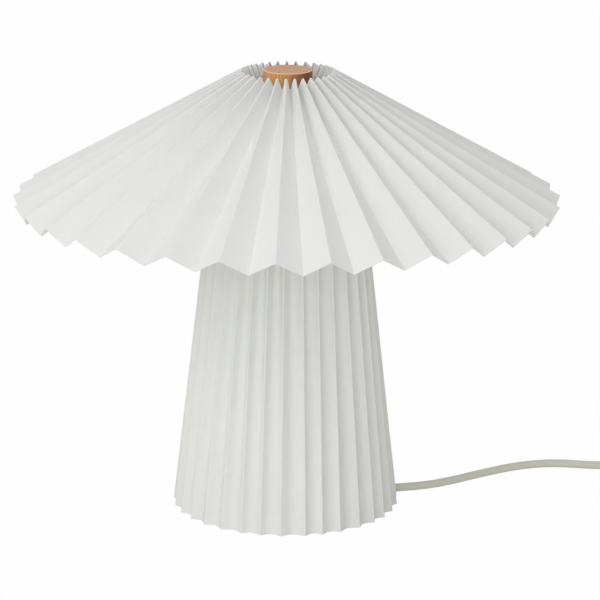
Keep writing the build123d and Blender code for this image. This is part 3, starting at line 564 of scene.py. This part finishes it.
@dataclass(frozen=True)
class LoopTape(Finish):
    """Woven nylon tape with a napped loop side: dull, with threads about 0.6 mm apart."""

    thread_mm: float = 0.6
    thread_colour: str = "#3A3B3E"
    nap_mm: float = 0.3
    nap_relief: float = 0.8
    nap_sheen: float = 0.4

    def detail(self, tree: bpy.types.NodeTree, shader: Node) -> None:
        """Adds the threads and the nap."""
        place = place_in_mm(tree)
        threads = add_node(
            tree,
            "ShaderNodeTexVoronoi",
            {"Vector": place, "Scale": 1 / self.thread_mm},
        )
        weave = add_node(
            tree,
            "ShaderNodeMix",
            {
                "Factor": threads.outputs["Distance"],
                "A": linear(self.colour),
                "B": linear(self.thread_colour),
            },
            data_type="RGBA",
        )
        tree.links.new(weave.outputs["Result"], shader.inputs["Base Color"])
        relief = add_node(
            tree,
            "ShaderNodeBump",
            {
                "Height": threads.outputs["Distance"],
                "Strength": self.nap_relief,
                "Distance": self.nap_mm * MM,
            },
        )
        tree.links.new(relief.outputs["Normal"], shader.inputs["Normal"])
        shader.inputs["Sheen Weight"].default_value = self.nap_sheen


@dataclass(frozen=True)
class LeadPair(Finish):
    """The two insulated leads inside the stem: PVC, brown on one side and blue on the other."""

    other: str = "#2F5C9E"

    def detail(self, tree: bpy.types.NodeTree, shader: Node) -> None:
        """Parts the two colours at the plane between the leads."""
        where = add_node(tree, "ShaderNodeTexCoord", {})
        side = add_node(
            tree,
            "ShaderNodeVectorMath",
            {0: where.outputs["Object"], 1: tuple(polar(1.0, EXIT_TURN + 90))},
            operation="DOT_PRODUCT",
        )
        which = add_node(
            tree,
            "ShaderNodeMath",
            {0: side.outputs["Value"], 1: 0.0},
            operation="GREATER_THAN",
        )
        pair = add_node(
            tree,
            "ShaderNodeMix",
            {"Factor": which.outputs[0], "A": linear(self.colour), "B": linear(self.other)},
            data_type="RGBA",
        )
        tree.links.new(pair.outputs["Result"], shader.inputs["Base Color"])


SHADE_PAPER = PleatedPaper("shade_paper", "#F8F9F7", 0.8, cloud_colour="#F4F5F2", glow=0.85)
SLEEVE_PAPER = PleatedPaper("sleeve_paper", "#F5F6F3", 0.8, cloud_colour="#F1F2EE", glow=0.1)
WHITE_WIRE = PowderCoat("frame_wire", "#E9E9E5", 0.35)
WHITE_PLATE = PowderCoat("plate_steel", "#E2E2DD", 0.4, peel_mm=1.2)
WHITE_STEM = PowderCoat("stem_steel", "#E9E9E5", 0.35)
ZINC = PlatedMetal("zinc_steel", "#B4B7BA", 0.32, 1.0)
BRASS = PlatedMetal("brass", "#D9B15F", 0.25, 1.0)
WOOD = OiledWood("wood", "#F6C084", 0.55)
RUBBER = MouldedPlastic("rubber", "#3A3A3A", 0.85, relief=0.4)
HOLDER_PLASTIC = MouldedPlastic("holder_plastic", "#E8E7E2", 0.45)
STEATITE = MouldedPlastic("ceramic", "#EDE8DC", 0.2, relief=0.1)
OPAL = OpalGlass("bulb_opal", "#F7F5EF", 0.25)
BULB_PLASTIC = MouldedPlastic("bulb_plastic", "#EFEFEC", 0.35)
BLACK_GLASS = MouldedPlastic("black_glass", "#141414", 0.1, relief=0.05)
FLEX = MouldedPlastic("flex", "#E0DED1", 0.55, grain_mm=0.8, relief=0.1)
LEADS = LeadPair("lead_insulation", "#6E3B22", 0.35)
WHITE_PLASTIC = MouldedPlastic("accessory_plastic", "#E6E6E1", 0.35)
TAPE = LoopTape("tie_fabric", "#18191B", 0.9)


# ---------------------------------------------------------------- pleated paper


@dataclass(frozen=True)
class FoldLine:
    """A straight fold, as the radius and height of its two ends."""

    start: tuple[float, float]
    end: tuple[float, float]

    def at(self, share: float) -> tuple[float, float]:
        """Gives the radius and height at a share of the fold's length."""
        return (
            self.start[0] + share * (self.end[0] - self.start[0]),
            self.start[1] + share * (self.end[1] - self.start[1]),
        )


def between(first: np.ndarray, second: np.ndarray, share: float) -> np.ndarray:
    """Turns from one set of unit vectors to another along the shorter arc.

    Args:
        first: Unit vectors, one to a row.
        second: Unit vectors, one to a row.
        share: How far to turn, from 0 to 1.

    Returns:
        The turned unit vectors.
    """
    angle = np.arccos(np.clip((first * second).sum(1), -1, 1))[:, None]
    return (np.sin((1 - share) * angle) * first + np.sin(share * angle) * second) / np.sin(angle)


def unit(vectors: np.ndarray) -> np.ndarray:
    """Scales vectors to length 1."""
    return vectors / np.linalg.norm(vectors, axis=-1, keepdims=True)


@dataclass
class PleatedSheet:
    """A sheet that is folded to and fro round the lamp's axis.

    Attributes:
        name: The piece's name.
        outer: The outer folds, from the sheet's top to its bottom.
        inner: The inner folds, from the sheet's top to its bottom.
        turns: The direction of each outer fold, in degrees, as one list for the sheet's top and
            one for its bottom.
        ridge: The radius that the sheet's middle has in an outer fold, at the top and the bottom.
        valley: The same for an inner fold.
        thickness: The sheet's thickness.
        bow: How far a facet bulges between its folds.
        lean: How far a fold may stand out of its place, in degrees.
        rows: How many rows of points run down the sheet.
        notch: The notch in the bottom edge, as its direction, half width and height, or None.
        arc_steps: How many steps a bend has.
        facet_steps: How many points a facet has between its bends.
        seed: What the sheet's own unevenness is drawn from.
    """

    name: str
    outer: FoldLine
    inner: FoldLine
    turns: tuple[list[float], list[float]]
    ridge: tuple[float, float]
    valley: tuple[float, float]
    thickness: float = PAPER
    bow: float = 0.25 * MM
    lean: float = 0.12
    rows: int = 40
    notch: tuple[float, float, float] | None = None
    arc_steps: int = 6
    facet_steps: int = 5
    seed: int = SEED

    def corners(self, share: float, sway: np.ndarray) -> np.ndarray:
        """Gives the folds' points at a share of the way down, outer and inner in turn."""
        outer_r, outer_z = self.outer.at(share)
        inner_r, inner_z = self.inner.at(share)
        turns = [top + share * (low - top) for top, low in zip(*self.turns)]
        points = []
        for k, turn in enumerate(turns):
            after = turns[k + 1] if k + 1 < len(turns) else turns[0] + 360
            points.append(polar(outer_r, turn + sway[2 * k], outer_z))
            points.append(polar(inner_r, (turn + after) / 2 + sway[2 * k + 1], inner_z))
        return np.array(points)

    def row(
        self, share: float, sway: np.ndarray, bulge: np.ndarray
    ) -> tuple[np.ndarray, np.ndarray]:
        """Lays one row of points round the sheet, with the folds bent to their radius.

        Args:
            share: How far down the row lies, from 0 to 1.
            sway: How far each fold leans from its place, in degrees.
            bulge: How far each facet bulges at this row.

        Returns:
            The points, and the direction that the sheet runs in at each of them.
        """
        radii = [start + share * (end - start) for start, end in (self.ridge, self.valley)]
        wanted = np.tile(radii, len(self.turns[0]))[:, None]
        fold = self.corners(share, sway)
        corner, radius = fold, wanted
        for _ in range(FOLD_PASSES):
            # The corners stand out past the folds, so that the bends reach the folds themselves.
            back = np.roll(corner, 1, 0) - corner
            ahead = np.roll(corner, -1, 0) - corner
            room = np.minimum(np.linalg.norm(back, axis=1), np.linalg.norm(ahead, axis=1))[:, None]
            back, ahead = unit(back), unit(ahead)
            middle = unit(back + ahead)
            half = np.arccos(np.clip((back * ahead).sum(1), -1, 1))[:, None] / 2
            radius = np.minimum(wanted, BEND_ROOM * room * np.tan(half))
            corner = (corner + fold - middle * radius * (1 / np.sin(half) - 1)) / 2
        back = unit(np.roll(corner, 1, 0) - corner)
        ahead = unit(np.roll(corner, -1, 0) - corner)
        middle = unit(back + ahead)
        half = np.arccos(np.clip((back * ahead).sum(1), -1, 1))[:, None] / 2
        centre = corner + middle * radius / np.sin(half)
        first = unit(corner + back * radius / np.tan(half) - centre)
        last = unit(corner + ahead * radius / np.tan(half) - centre)
        places, headings = [], []
        for step in range(self.arc_steps + 1):
            turned = step / self.arc_steps
            places.append(centre + radius * between(first, last, turned))
            headings.append(between(-back, ahead, turned))
        start, end = places[-1], np.roll(places[0], -1, 0)
        out = unit(np.cross(ahead, np.array([[0.0, 0.0, 1.0]])))
        for step in range(1, self.facet_steps + 1):
            across = step / (self.facet_steps + 1)
            lift = (bulge * math.sin(math.pi * across))[:, None]
            places.append(start + across * (end - start) + out * lift)
            headings.append(unit(end - start))
        return np.stack(places, 1).reshape(-1, 3), np.stack(headings, 1).reshape(-1, 3)

    def build(self, finish: Finish) -> bpy.types.Object:
        """Makes the sheet as one closed mesh with the folds' own normals.

        Args:
            finish: The paper's finish.

        Returns:
            The piece.
        """
        chance = random.Random(self.seed)
        folds = 2 * len(self.turns[0])
        sway = np.array([chance.uniform(-self.lean, self.lean) for _ in range(folds)])
        bulges = np.array([chance.uniform(-self.bow, self.bow) for _ in range(folds)])
        places, headings = [], []
        for k in range(self.rows):
            share = k / (self.rows - 1)
            # A facet bulges most a third of the way down, and lies flat near the bottom edge.
            bulge = bulges * math.sin(math.pi * min(1.0, 0.15 + share))
            point, heading = self.row(share, sway, bulge)
            places.append(point)
            headings.append(heading)
        place, heading = np.array(places), np.array(headings)
        down = np.gradient(place, axis=0)
        normal = unit(np.cross(down, heading))
        keep = self.kept_cells(place)
        made = shell(self.name, place, normal, self.thickness / 2, keep)
        made.data.materials.append(finish.material())
        return made

    def kept_cells(self, place: np.ndarray) -> np.ndarray:
        """Tells which cells of the grid stay, once the notch is cut out of the bottom edge."""
        keep = np.ones((place.shape[0] - 1, place.shape[1]), bool)
        if self.notch is None:
            return keep
        turn, half_width, height = self.notch
        out = polar(1.0, turn)
        aside = polar(1.0, turn + 90)
        beside = np.roll(place, -1, 1)
        centre = (place[:-1] + place[1:] + beside[:-1] + beside[1:]) / 4
        inside = (
            (centre @ np.array(out) > 0)
            & (np.abs(centre @ np.array(aside)) < half_width)
            & (centre[..., 2] < height)
        )
        return keep & ~inside


def shell(
    name: str, place: np.ndarray, normal: np.ndarray, half: float, keep: np.ndarray
) -> bpy.types.Object:
    """Makes a closed sheet from a grid of points that runs round in its second direction.

    Args:
        name: The object's name.
        place: The sheet's middle, as rows of points.
        normal: The outward direction at each point.
        half: Half of the sheet's thickness.
        keep: Which of the grid's cells are there.

    Returns:
        The mesh object.
    """
    rows, around = place.shape[:2]
    back = rows * around
    outside, inside = place + half * normal, place - half * normal
    points = np.concatenate([outside.reshape(-1, 3), inside.reshape(-1, 3)])
    faces: list[tuple[int, ...]] = []
    facing: list[int | None] = []
    for i in range(rows - 1):
        for j in range(around):
            if not keep[i, j]:
                continue
            after = (j + 1) % around
            above, below = i * around, (i + 1) * around
            cell = (above + j, below + j, below + after, above + after)
            faces.append(cell)
            facing.append(1)
            faces.append(tuple(v + back for v in reversed(cell)))
            facing.append(-1)
            beside = (
                keep[i, (j - 1) % around],
                i + 1 < rows - 1 and keep[i + 1, j],
                keep[i, after],
                i > 0 and keep[i - 1, j],
            )
            for side, there in enumerate(beside):
                if not there:
                    start, end = cell[side], cell[(side + 1) % 4]
                    faces.append((end, start, start + back, end + back))
                    facing.append(None)
    used = sorted({v for face in faces for v in face})
    number = {v: n for n, v in enumerate(used)}
    mesh = bpy.data.meshes.new(name)
    mesh.from_pydata(points[used].tolist(), [], [[number[v] for v in face] for face in faces])
    mesh.update()
    flat = normal.reshape(-1, 3)
    loops: list[Sequence[float]] = []
    for polygon, face, side in zip(mesh.polygons, faces, facing):
        polygon.use_smooth = True
        for v in face:
            loops.append(polygon.normal[:] if side is None else (side * flat[v % back]).tolist())
    mesh.normals_split_custom_set(loops)
    return new_object(name, mesh)


def all_turns(front: float, *runs: tuple[Sequence[float], int]) -> list[float]:
    """Completes the outer folds' directions with even ones where the camera doesn't see them.

    Args:
        front: The direction of the front, in degrees.
        *runs: The directions that show, in degrees from the front and from left to right, and
            how many hidden folds follow them before the next run's first.

    Returns:
        The direction of every outer fold, in degrees.
    """
    turns: list[float] = []
    for k, (seen, hidden) in enumerate(runs):
        after = runs[k + 1][0][0] if k + 1 < len(runs) else runs[0][0][0] + 360
        gap = (after - seen[-1]) / (hidden + 1)
        turns += [*seen, *(seen[-1] + gap * (n + 1) for n in range(hidden))]
    return [front + turn for turn in turns]


@dataclass
class Shade:
    """The wide pleated shade's paper, on its glued wire frame."""

    front: float = -90.0
    top: tuple[float, float] = (35.5 * MM, 345.0 * MM)
    rim: tuple[float, float] = (210.0 * MM, 247.5 * MM)
    top_depth: float = 10.5 * MM
    rim_depth: float = 12.2 * MM
    bend: tuple[float, float] = (0.75 * MM, 0.6 * MM)
    # The outer folds that face the camera, in degrees from the front. Hand-set pleats are uneven.
    seen: tuple[float, ...] = (
        -68.2, -57.3, -46.6, -35.3, -23.9, -12.8, -1.8, 8.8, 19.1, 29.7, 39.8, 49.7, 59.5, 69.0,
    )
    # The six whose tips show behind the knob, and the hidden ones after either run: 34 in all.
    behind: tuple[float, ...] = (145.7, 157.8, 170.3, 181.5, 192.8, 203.9)
    hidden: tuple[int, int] = (6, 8)

    def build(self) -> bpy.types.Object:
        """Folds the shade's paper and gives it to the shade's body."""
        run = Vector((self.rim[0] - self.top[0], self.rim[1] - self.top[1])).normalized()
        out = (-run.y, run.x)
        half = PAPER / 2
        outer = FoldLine(
            (self.top[0] - half * out[0], self.top[1] - half * out[1]),
            (self.rim[0] - half * out[0], self.rim[1] - half * out[1]),
        )
        inner = FoldLine(
            (self.top[0] - self.top_depth * out[0], self.top[1] - self.top_depth * out[1]),
            (self.rim[0] - self.rim_depth * out[0], self.rim[1] - self.rim_depth * out[1]),
        )
        turns = all_turns(
            self.front, (self.seen, self.hidden[0]), (self.behind, self.hidden[1])
        )
        sheet = PleatedSheet(
            "pleated_shade", outer, inner, (turns, turns), self.bend, self.bend, rows=44
        )
        made = sheet.build(SHADE_PAPER)
        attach(made, "shade")
        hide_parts("shade_paper")
        return made


@dataclass
class Sleeve:
    """The tapering pleated sleeve's paper, round the stem."""

    front: float = -90.0
    bottom: tuple[float, float] = (88.3 * MM, 0.8 * MM)
    top: tuple[float, float] = (58.8 * MM, 255.0 * MM)
    bottom_depth: float = 4.6 * MM
    top_depth: float = 8.8 * MM
    # The outer folds that face the camera, in degrees from the front, at the top and the bottom,
    # and the hidden ones behind: 32 in all.
    top_seen: tuple[float, ...] = (
        -67.5, -56.3, -45.1, -33.9, -24.0, -12.7, -1.4, 11.3, 22.5, 33.7, 45.1, 56.2, 66.9, 77.0,
    )
    bottom_seen: tuple[float, ...] = (
        -67.0, -55.9, -44.7, -33.5, -22.4, -12.4, -2.1, 10.4, 19.1, 28.9, 40.8, 51.5, 61.0, 71.5,
    )
    hidden: int = 18

    def build(self) -> bpy.types.Object:
        """Folds the sleeve's paper and gives it to the stand."""
        half = PAPER / 2
        outer = FoldLine((self.top[0] - half, self.top[1]), (self.bottom[0] - half, self.bottom[1]))
        inner = FoldLine(
            (self.top[0] - self.top_depth, self.top[1]),
            (self.bottom[0] - self.bottom_depth, self.bottom[1]),
        )
        sheet = PleatedSheet(
            "pleated_sleeve",
            outer,
            inner,
            (
                all_turns(self.front, (self.top_seen, self.hidden)),
                all_turns(self.front, (self.bottom_seen, self.hidden)),
            ),
            ridge=(0.6 * MM, 0.6 * MM),
            valley=(2.0 * MM, 8.0 * MM),
            rows=52,
            arc_steps=8,
            facet_steps=3,
            notch=(EXIT_TURN, 4.6 * MM, 10.0 * MM),
            seed=SEED + 1,
        )
        made = sheet.build(SLEEVE_PAPER)
        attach(made, "stand")
        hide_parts("sleeve_paper")
        return made


# ---------------------------------------------------------------- the flex


@dataclass
class Flex:
    """The flex from the foot to the plug, as one smooth line through the switch and the coil."""

    diameter: float = 6.4 * MM
    exit_turn: float = EXIT_TURN
    exit_radius: float = 81.2541 * MM
    exit_height: float = 5.0 * MM
    switch: Point = (320.4 * MM, 62.5 * MM, 6.2 * MM)
    switch_turn: float = -12.0
    switch_length: float = 58.0 * MM
    coil_centre: tuple[float, float] = (345.0 * MM, -26.0 * MM)
    coil_radius: float = 47.4 * MM
    coil_step: float = 7.15 * MM
    coil_turns: int = 6
    coil_low: float = 4.3 * MM
    steps_a_turn: int = 18
    plug: Point = (383.0 * MM, -144.0 * MM, 6.9 * MM)

    def on_switch(self, away: float) -> Point:
        """Gives a point on the switch's own line, at a distance from its middle."""
        turn = math.radians(self.switch_turn)
        x, y, z = self.switch
        return (x + away * math.cos(turn), y + away * math.sin(turn), z)

    def run(self) -> list[Point]:
        """Gives the route from the foot over the table to the far side of the switch."""
        rest = self.diameter / 2
        end = self.switch_length / 2
        return [
            tuple(polar(self.exit_radius, self.exit_turn, self.exit_height)),
            tuple(polar(107 * MM, self.exit_turn, self.exit_height)),
            (130 * MM, 37.5 * MM, rest),
            (157 * MM, 58 * MM, rest),
            (188 * MM, 78.5 * MM, rest),
            (218 * MM, 87 * MM, rest),
            (250 * MM, 80.5 * MM, rest),
            (272.4 * MM, 72.7 * MM, self.switch[2]),
            self.on_switch(-end),
            self.on_switch(0.0),
            self.on_switch(end),
            self.on_switch(end + 20 * MM),
            (387 * MM, 36.5 * MM, 4.8 * MM),
            (394.2 * MM, 14 * MM, self.coil_low),
            (392.4 * MM, -3 * MM, self.coil_low),
        ]

    def coil(self) -> list[Point]:
        """Gives the coil's turns, which wind in on the table and out again on top of themselves."""
        points = []
        high = self.coil_low + self.coil_step
        for step in range(self.coil_turns * self.steps_a_turn + 1):
            turn = step / self.steps_a_turn
            radius = self.coil_radius - self.coil_step * min(turn, self.coil_turns - turn)
            angle = -2 * math.pi * turn
            climb = min(1.0, max(0.0, (turn - (self.coil_turns / 2 - 0.25)) / 0.5))
            points.append(
                (
                    self.coil_centre[0] + radius * math.cos(angle),
                    self.coil_centre[1] + radius * math.sin(angle),
                    self.coil_low + climb * (high - self.coil_low),
                )
            )
        return points

    def tail(self) -> list[Point]:
        """Gives the route from the coil down to the table and into the plug."""
        high = self.coil_low + self.coil_step
        x, y, z = self.plug
        return [
            (392.4 * MM, -32.4 * MM, high),
            (392.4 * MM, -54 * MM, high),
            (389 * MM, -79 * MM, 4.4 * MM),
            (385 * MM, -103 * MM, self.diameter / 2),
            (x, -126 * MM, z),
            (x, y, z),
        ]

    def build(self) -> bpy.types.Object:
        points = [*self.run(), *self.coil(), *self.tail()]
        curve = bpy.data.curves.new("flex_line", "CURVE")
        curve.dimensions = "3D"
        curve.bevel_depth = self.diameter / 2
        curve.bevel_resolution = 5
        curve.use_fill_caps = True
        spline = curve.splines.new("NURBS")
        spline.points.add(len(points) - 1)
        for control, point in zip(spline.points, points):
            control.co = (*point, 1.0)
        spline.order_u = 3
        spline.use_endpoint_u = True
        spline.resolution_u = 8
        made = new_object("flex", curve)
        curve.materials.append(FLEX.material())
        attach(made, "stand")
        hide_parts("cord_run", "cord_link", "cord_coil", "cord_end")
        return made


# ---------------------------------------------------------------- the CAD model's own solids

CAD_FINISHES: dict[str, Finish] = {
    "foot_pads": RUBBER,
    "base_plate": WHITE_PLATE,
    "stem_flange": WHITE_STEM,
    "flange_screws": ZINC,
    "stem_tube": WHITE_STEM,
    "stem_nipple": ZINC,
    "stem_nut": ZINC,
    "sleeve_lower_ring": WHITE_WIRE,
    "sleeve_upper_ring": WHITE_WIRE,
    "sleeve_spider": WHITE_WIRE,
    "harp_saddle": ZINC,
    "harp_wire": WHITE_WIRE,
    "finial_stud": BRASS,
    "holder_cap": HOLDER_PLASTIC,
    "holder_skirt": HOLDER_PLASTIC,
    "holder_insert": STEATITE,
    "holder_screw_shell": BRASS,
    "holder_contact": BRASS,
    "lead_wires": LEADS,
    "inner_flex": FLEX,
    "cord_bush": WHITE_PLASTIC,
    "cord_clamp": WHITE_PLASTIC,
    "clamp_screws": ZINC,
    "cord_tie": TAPE,
    "plug_body": WHITE_PLASTIC,
    "plug_pins": ZINC,
    "switch_base": WHITE_PLASTIC,
    "switch_cover": WHITE_PLASTIC,
    "switch_screws": ZINC,
    "switch_terminals": BRASS,
    "switch_rocker": WHITE_PLASTIC,
    "bulb_globe": OPAL,
    "bulb_collar": BULB_PLASTIC,
    "bulb_cap": ZINC,
    "bulb_insulator": BLACK_GLASS,
    "bulb_contact": ZINC,
    "shade_top_ring": WHITE_WIRE,
    "shade_hoop": WHITE_WIRE,
    "shade_ribs": WHITE_WIRE,
    "shade_spider": WHITE_WIRE,
    "shade_washer": RUBBER,
    "knob": WOOD,
    "knob_insert": BRASS,
}


def dress(nodes: dict[str, bpy.types.Object]) -> None:
    """Gives each CAD solid that is shown its finish.

    Args:
        nodes: The CAD solids by name.
    """
    for name, finish in CAD_FINISHES.items():
        materials = nodes[name].data.materials
        materials.clear()
        materials.append(finish.material())


# ---------------------------------------------------------------- the studio


def seen_directly(tree: bpy.types.NodeTree) -> Socket:
    """Tells camera, mirrored and refracted rays, which see the ground as plain white."""
    path = add_node(tree, "ShaderNodeLightPath", {})
    straight = path.outputs["Is Camera Ray"]
    for kind in ("Is Glossy Ray", "Is Transmission Ray"):
        either = add_node(
            tree,
            "ShaderNodeMath",
            {0: straight, 1: path.outputs[kind]},
            operation="MAXIMUM",
        )
        straight = either.outputs[0]
    return straight


@dataclass(frozen=True)
class SoftLight:
    """A square soft light that points at the middle of the lamp."""

    name: str
    place: Point
    size: float
    power: float
    aim: Point = (0.0, 0.0, 0.2)

    def hang(self) -> None:
        """Hangs the light in its place."""
        data = bpy.data.lights.new(self.name, "AREA")
        data.shape = "SQUARE"
        data.size = self.size
        data.energy = self.power
        light = new_object(self.name, data)
        light.location = self.place
        way = Vector(self.aim) - Vector(self.place)
        light.rotation_euler = way.to_track_quat("-Z", "Y").to_euler()


@dataclass
class Studio:
    """The white table, the light and the camera."""

    camera_at: Point = (10.4 * MM, -2249.0 * MM, 781.5 * MM)
    camera_pitch: float = 15.364
    camera_roll: float = 0.378
    focal_px: float = 3006.0
    picture_px: float = 600.0
    sensor_mm: float = 36.0
    floor_size: float = 8.0
    glow_share: float = 0.98
    world_light: float = 0.51
    lights: tuple[SoftLight, ...] = (
        SoftLight("key_light", (-1.6, -1.5, 1.7), 1.4, 11.4),
        SoftLight("fill_light", (-0.4, -2.4, 0.3), 1.6, 16.5),
        SoftLight("top_light", (0.0, -0.3, 2.4), 1.6, 3.8),
    )

    def camera(self) -> None:
        """Makes the camera of the photograph's view."""
        data = bpy.data.cameras.new("camera")
        data.sensor_width = self.sensor_mm
        data.lens = self.focal_px / self.picture_px * self.sensor_mm
        data.clip_end = 50.0
        camera = new_object("camera", data)
        camera.location = self.camera_at
        aim = Euler((math.radians(90.0 - self.camera_pitch), 0.0, 0.0)).to_quaternion()
        roll = Quaternion((0.0, 0.0, 1.0), math.radians(self.camera_roll))
        camera.rotation_euler = (aim @ roll).to_euler()
        bpy.context.scene.camera = camera

    def floor(self) -> None:
        """Makes the white table top, which keeps the lamp's soft shadow."""
        mesh = bpy.data.meshes.new("table_top")
        half = self.floor_size / 2
        corners = [(x * half, y * half, 0.0) for x, y in ((-1, -1), (1, -1), (1, 1), (-1, 1))]
        mesh.from_pydata(corners, [], [(0, 1, 2, 3)])
        table = new_object("table_top", mesh)
        material = bpy.data.materials.new("white_table")
        material.use_nodes = True
        tree = material.node_tree
        tree.nodes.clear()
        lit = add_node(tree, "ShaderNodeBsdfDiffuse", {"Color": linear("#F4F4F2")})
        glow = add_node(tree, "ShaderNodeEmission", {"Color": linear("#FFFFFF"), "Strength": 1.0})
        share = add_node(
            tree,
            "ShaderNodeMath",
            {0: seen_directly(tree), 1: self.glow_share},
            operation="MULTIPLY",
        )
        both = add_node(
            tree,
            "ShaderNodeMixShader",
            {0: share.outputs[0], 1: lit.outputs[0], 2: glow.outputs[0]},
        )
        add_node(tree, "ShaderNodeOutputMaterial", {"Surface": both.outputs[0]})
        mesh.materials.append(material)

    def world(self) -> None:
        """Makes the even white surroundings."""
        world = bpy.data.worlds.new("studio")
        bpy.context.scene.world = world
        world.use_nodes = True
        tree = world.node_tree
        tree.nodes.clear()
        strength = add_node(
            tree,
            "ShaderNodeMapRange",
            {"Value": seen_directly(tree), "To Min": self.world_light, "To Max": 1.0},
        )
        sky = add_node(
            tree,
            "ShaderNodeBackground",
            {"Color": linear("#FFFFFF"), "Strength": strength.outputs["Result"]},
        )
        add_node(tree, "ShaderNodeOutputWorld", {"Surface": sky.outputs[0]})

    def build(self) -> None:
        """Builds the whole studio."""
        bpy.context.scene.view_settings.view_transform = "Standard"
        self.camera()
        self.floor()
        self.world()
        for light in self.lights:
            light.hang()


# ---------------------------------------------------------------- the whole lamp


def main() -> None:
    """Builds the lamp's pieces and the studio."""
    logging.basicConfig(level=logging.INFO, format="%(name)s: %(message)s")
    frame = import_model()
    Studio().build()
    flex = Flex().build()
    LOG.info("flex laid: %s", flex.name)
    dress(frame["nodes"])
    LOG.info("CAD solids dressed: %d", len(CAD_FINISHES))
    for maker in (Shade(), Sleeve()):
        piece = maker.build()
        LOG.info("%s folded: %d faces", piece.name, len(piece.data.polygons))


if __name__ == "__main__":
    main()
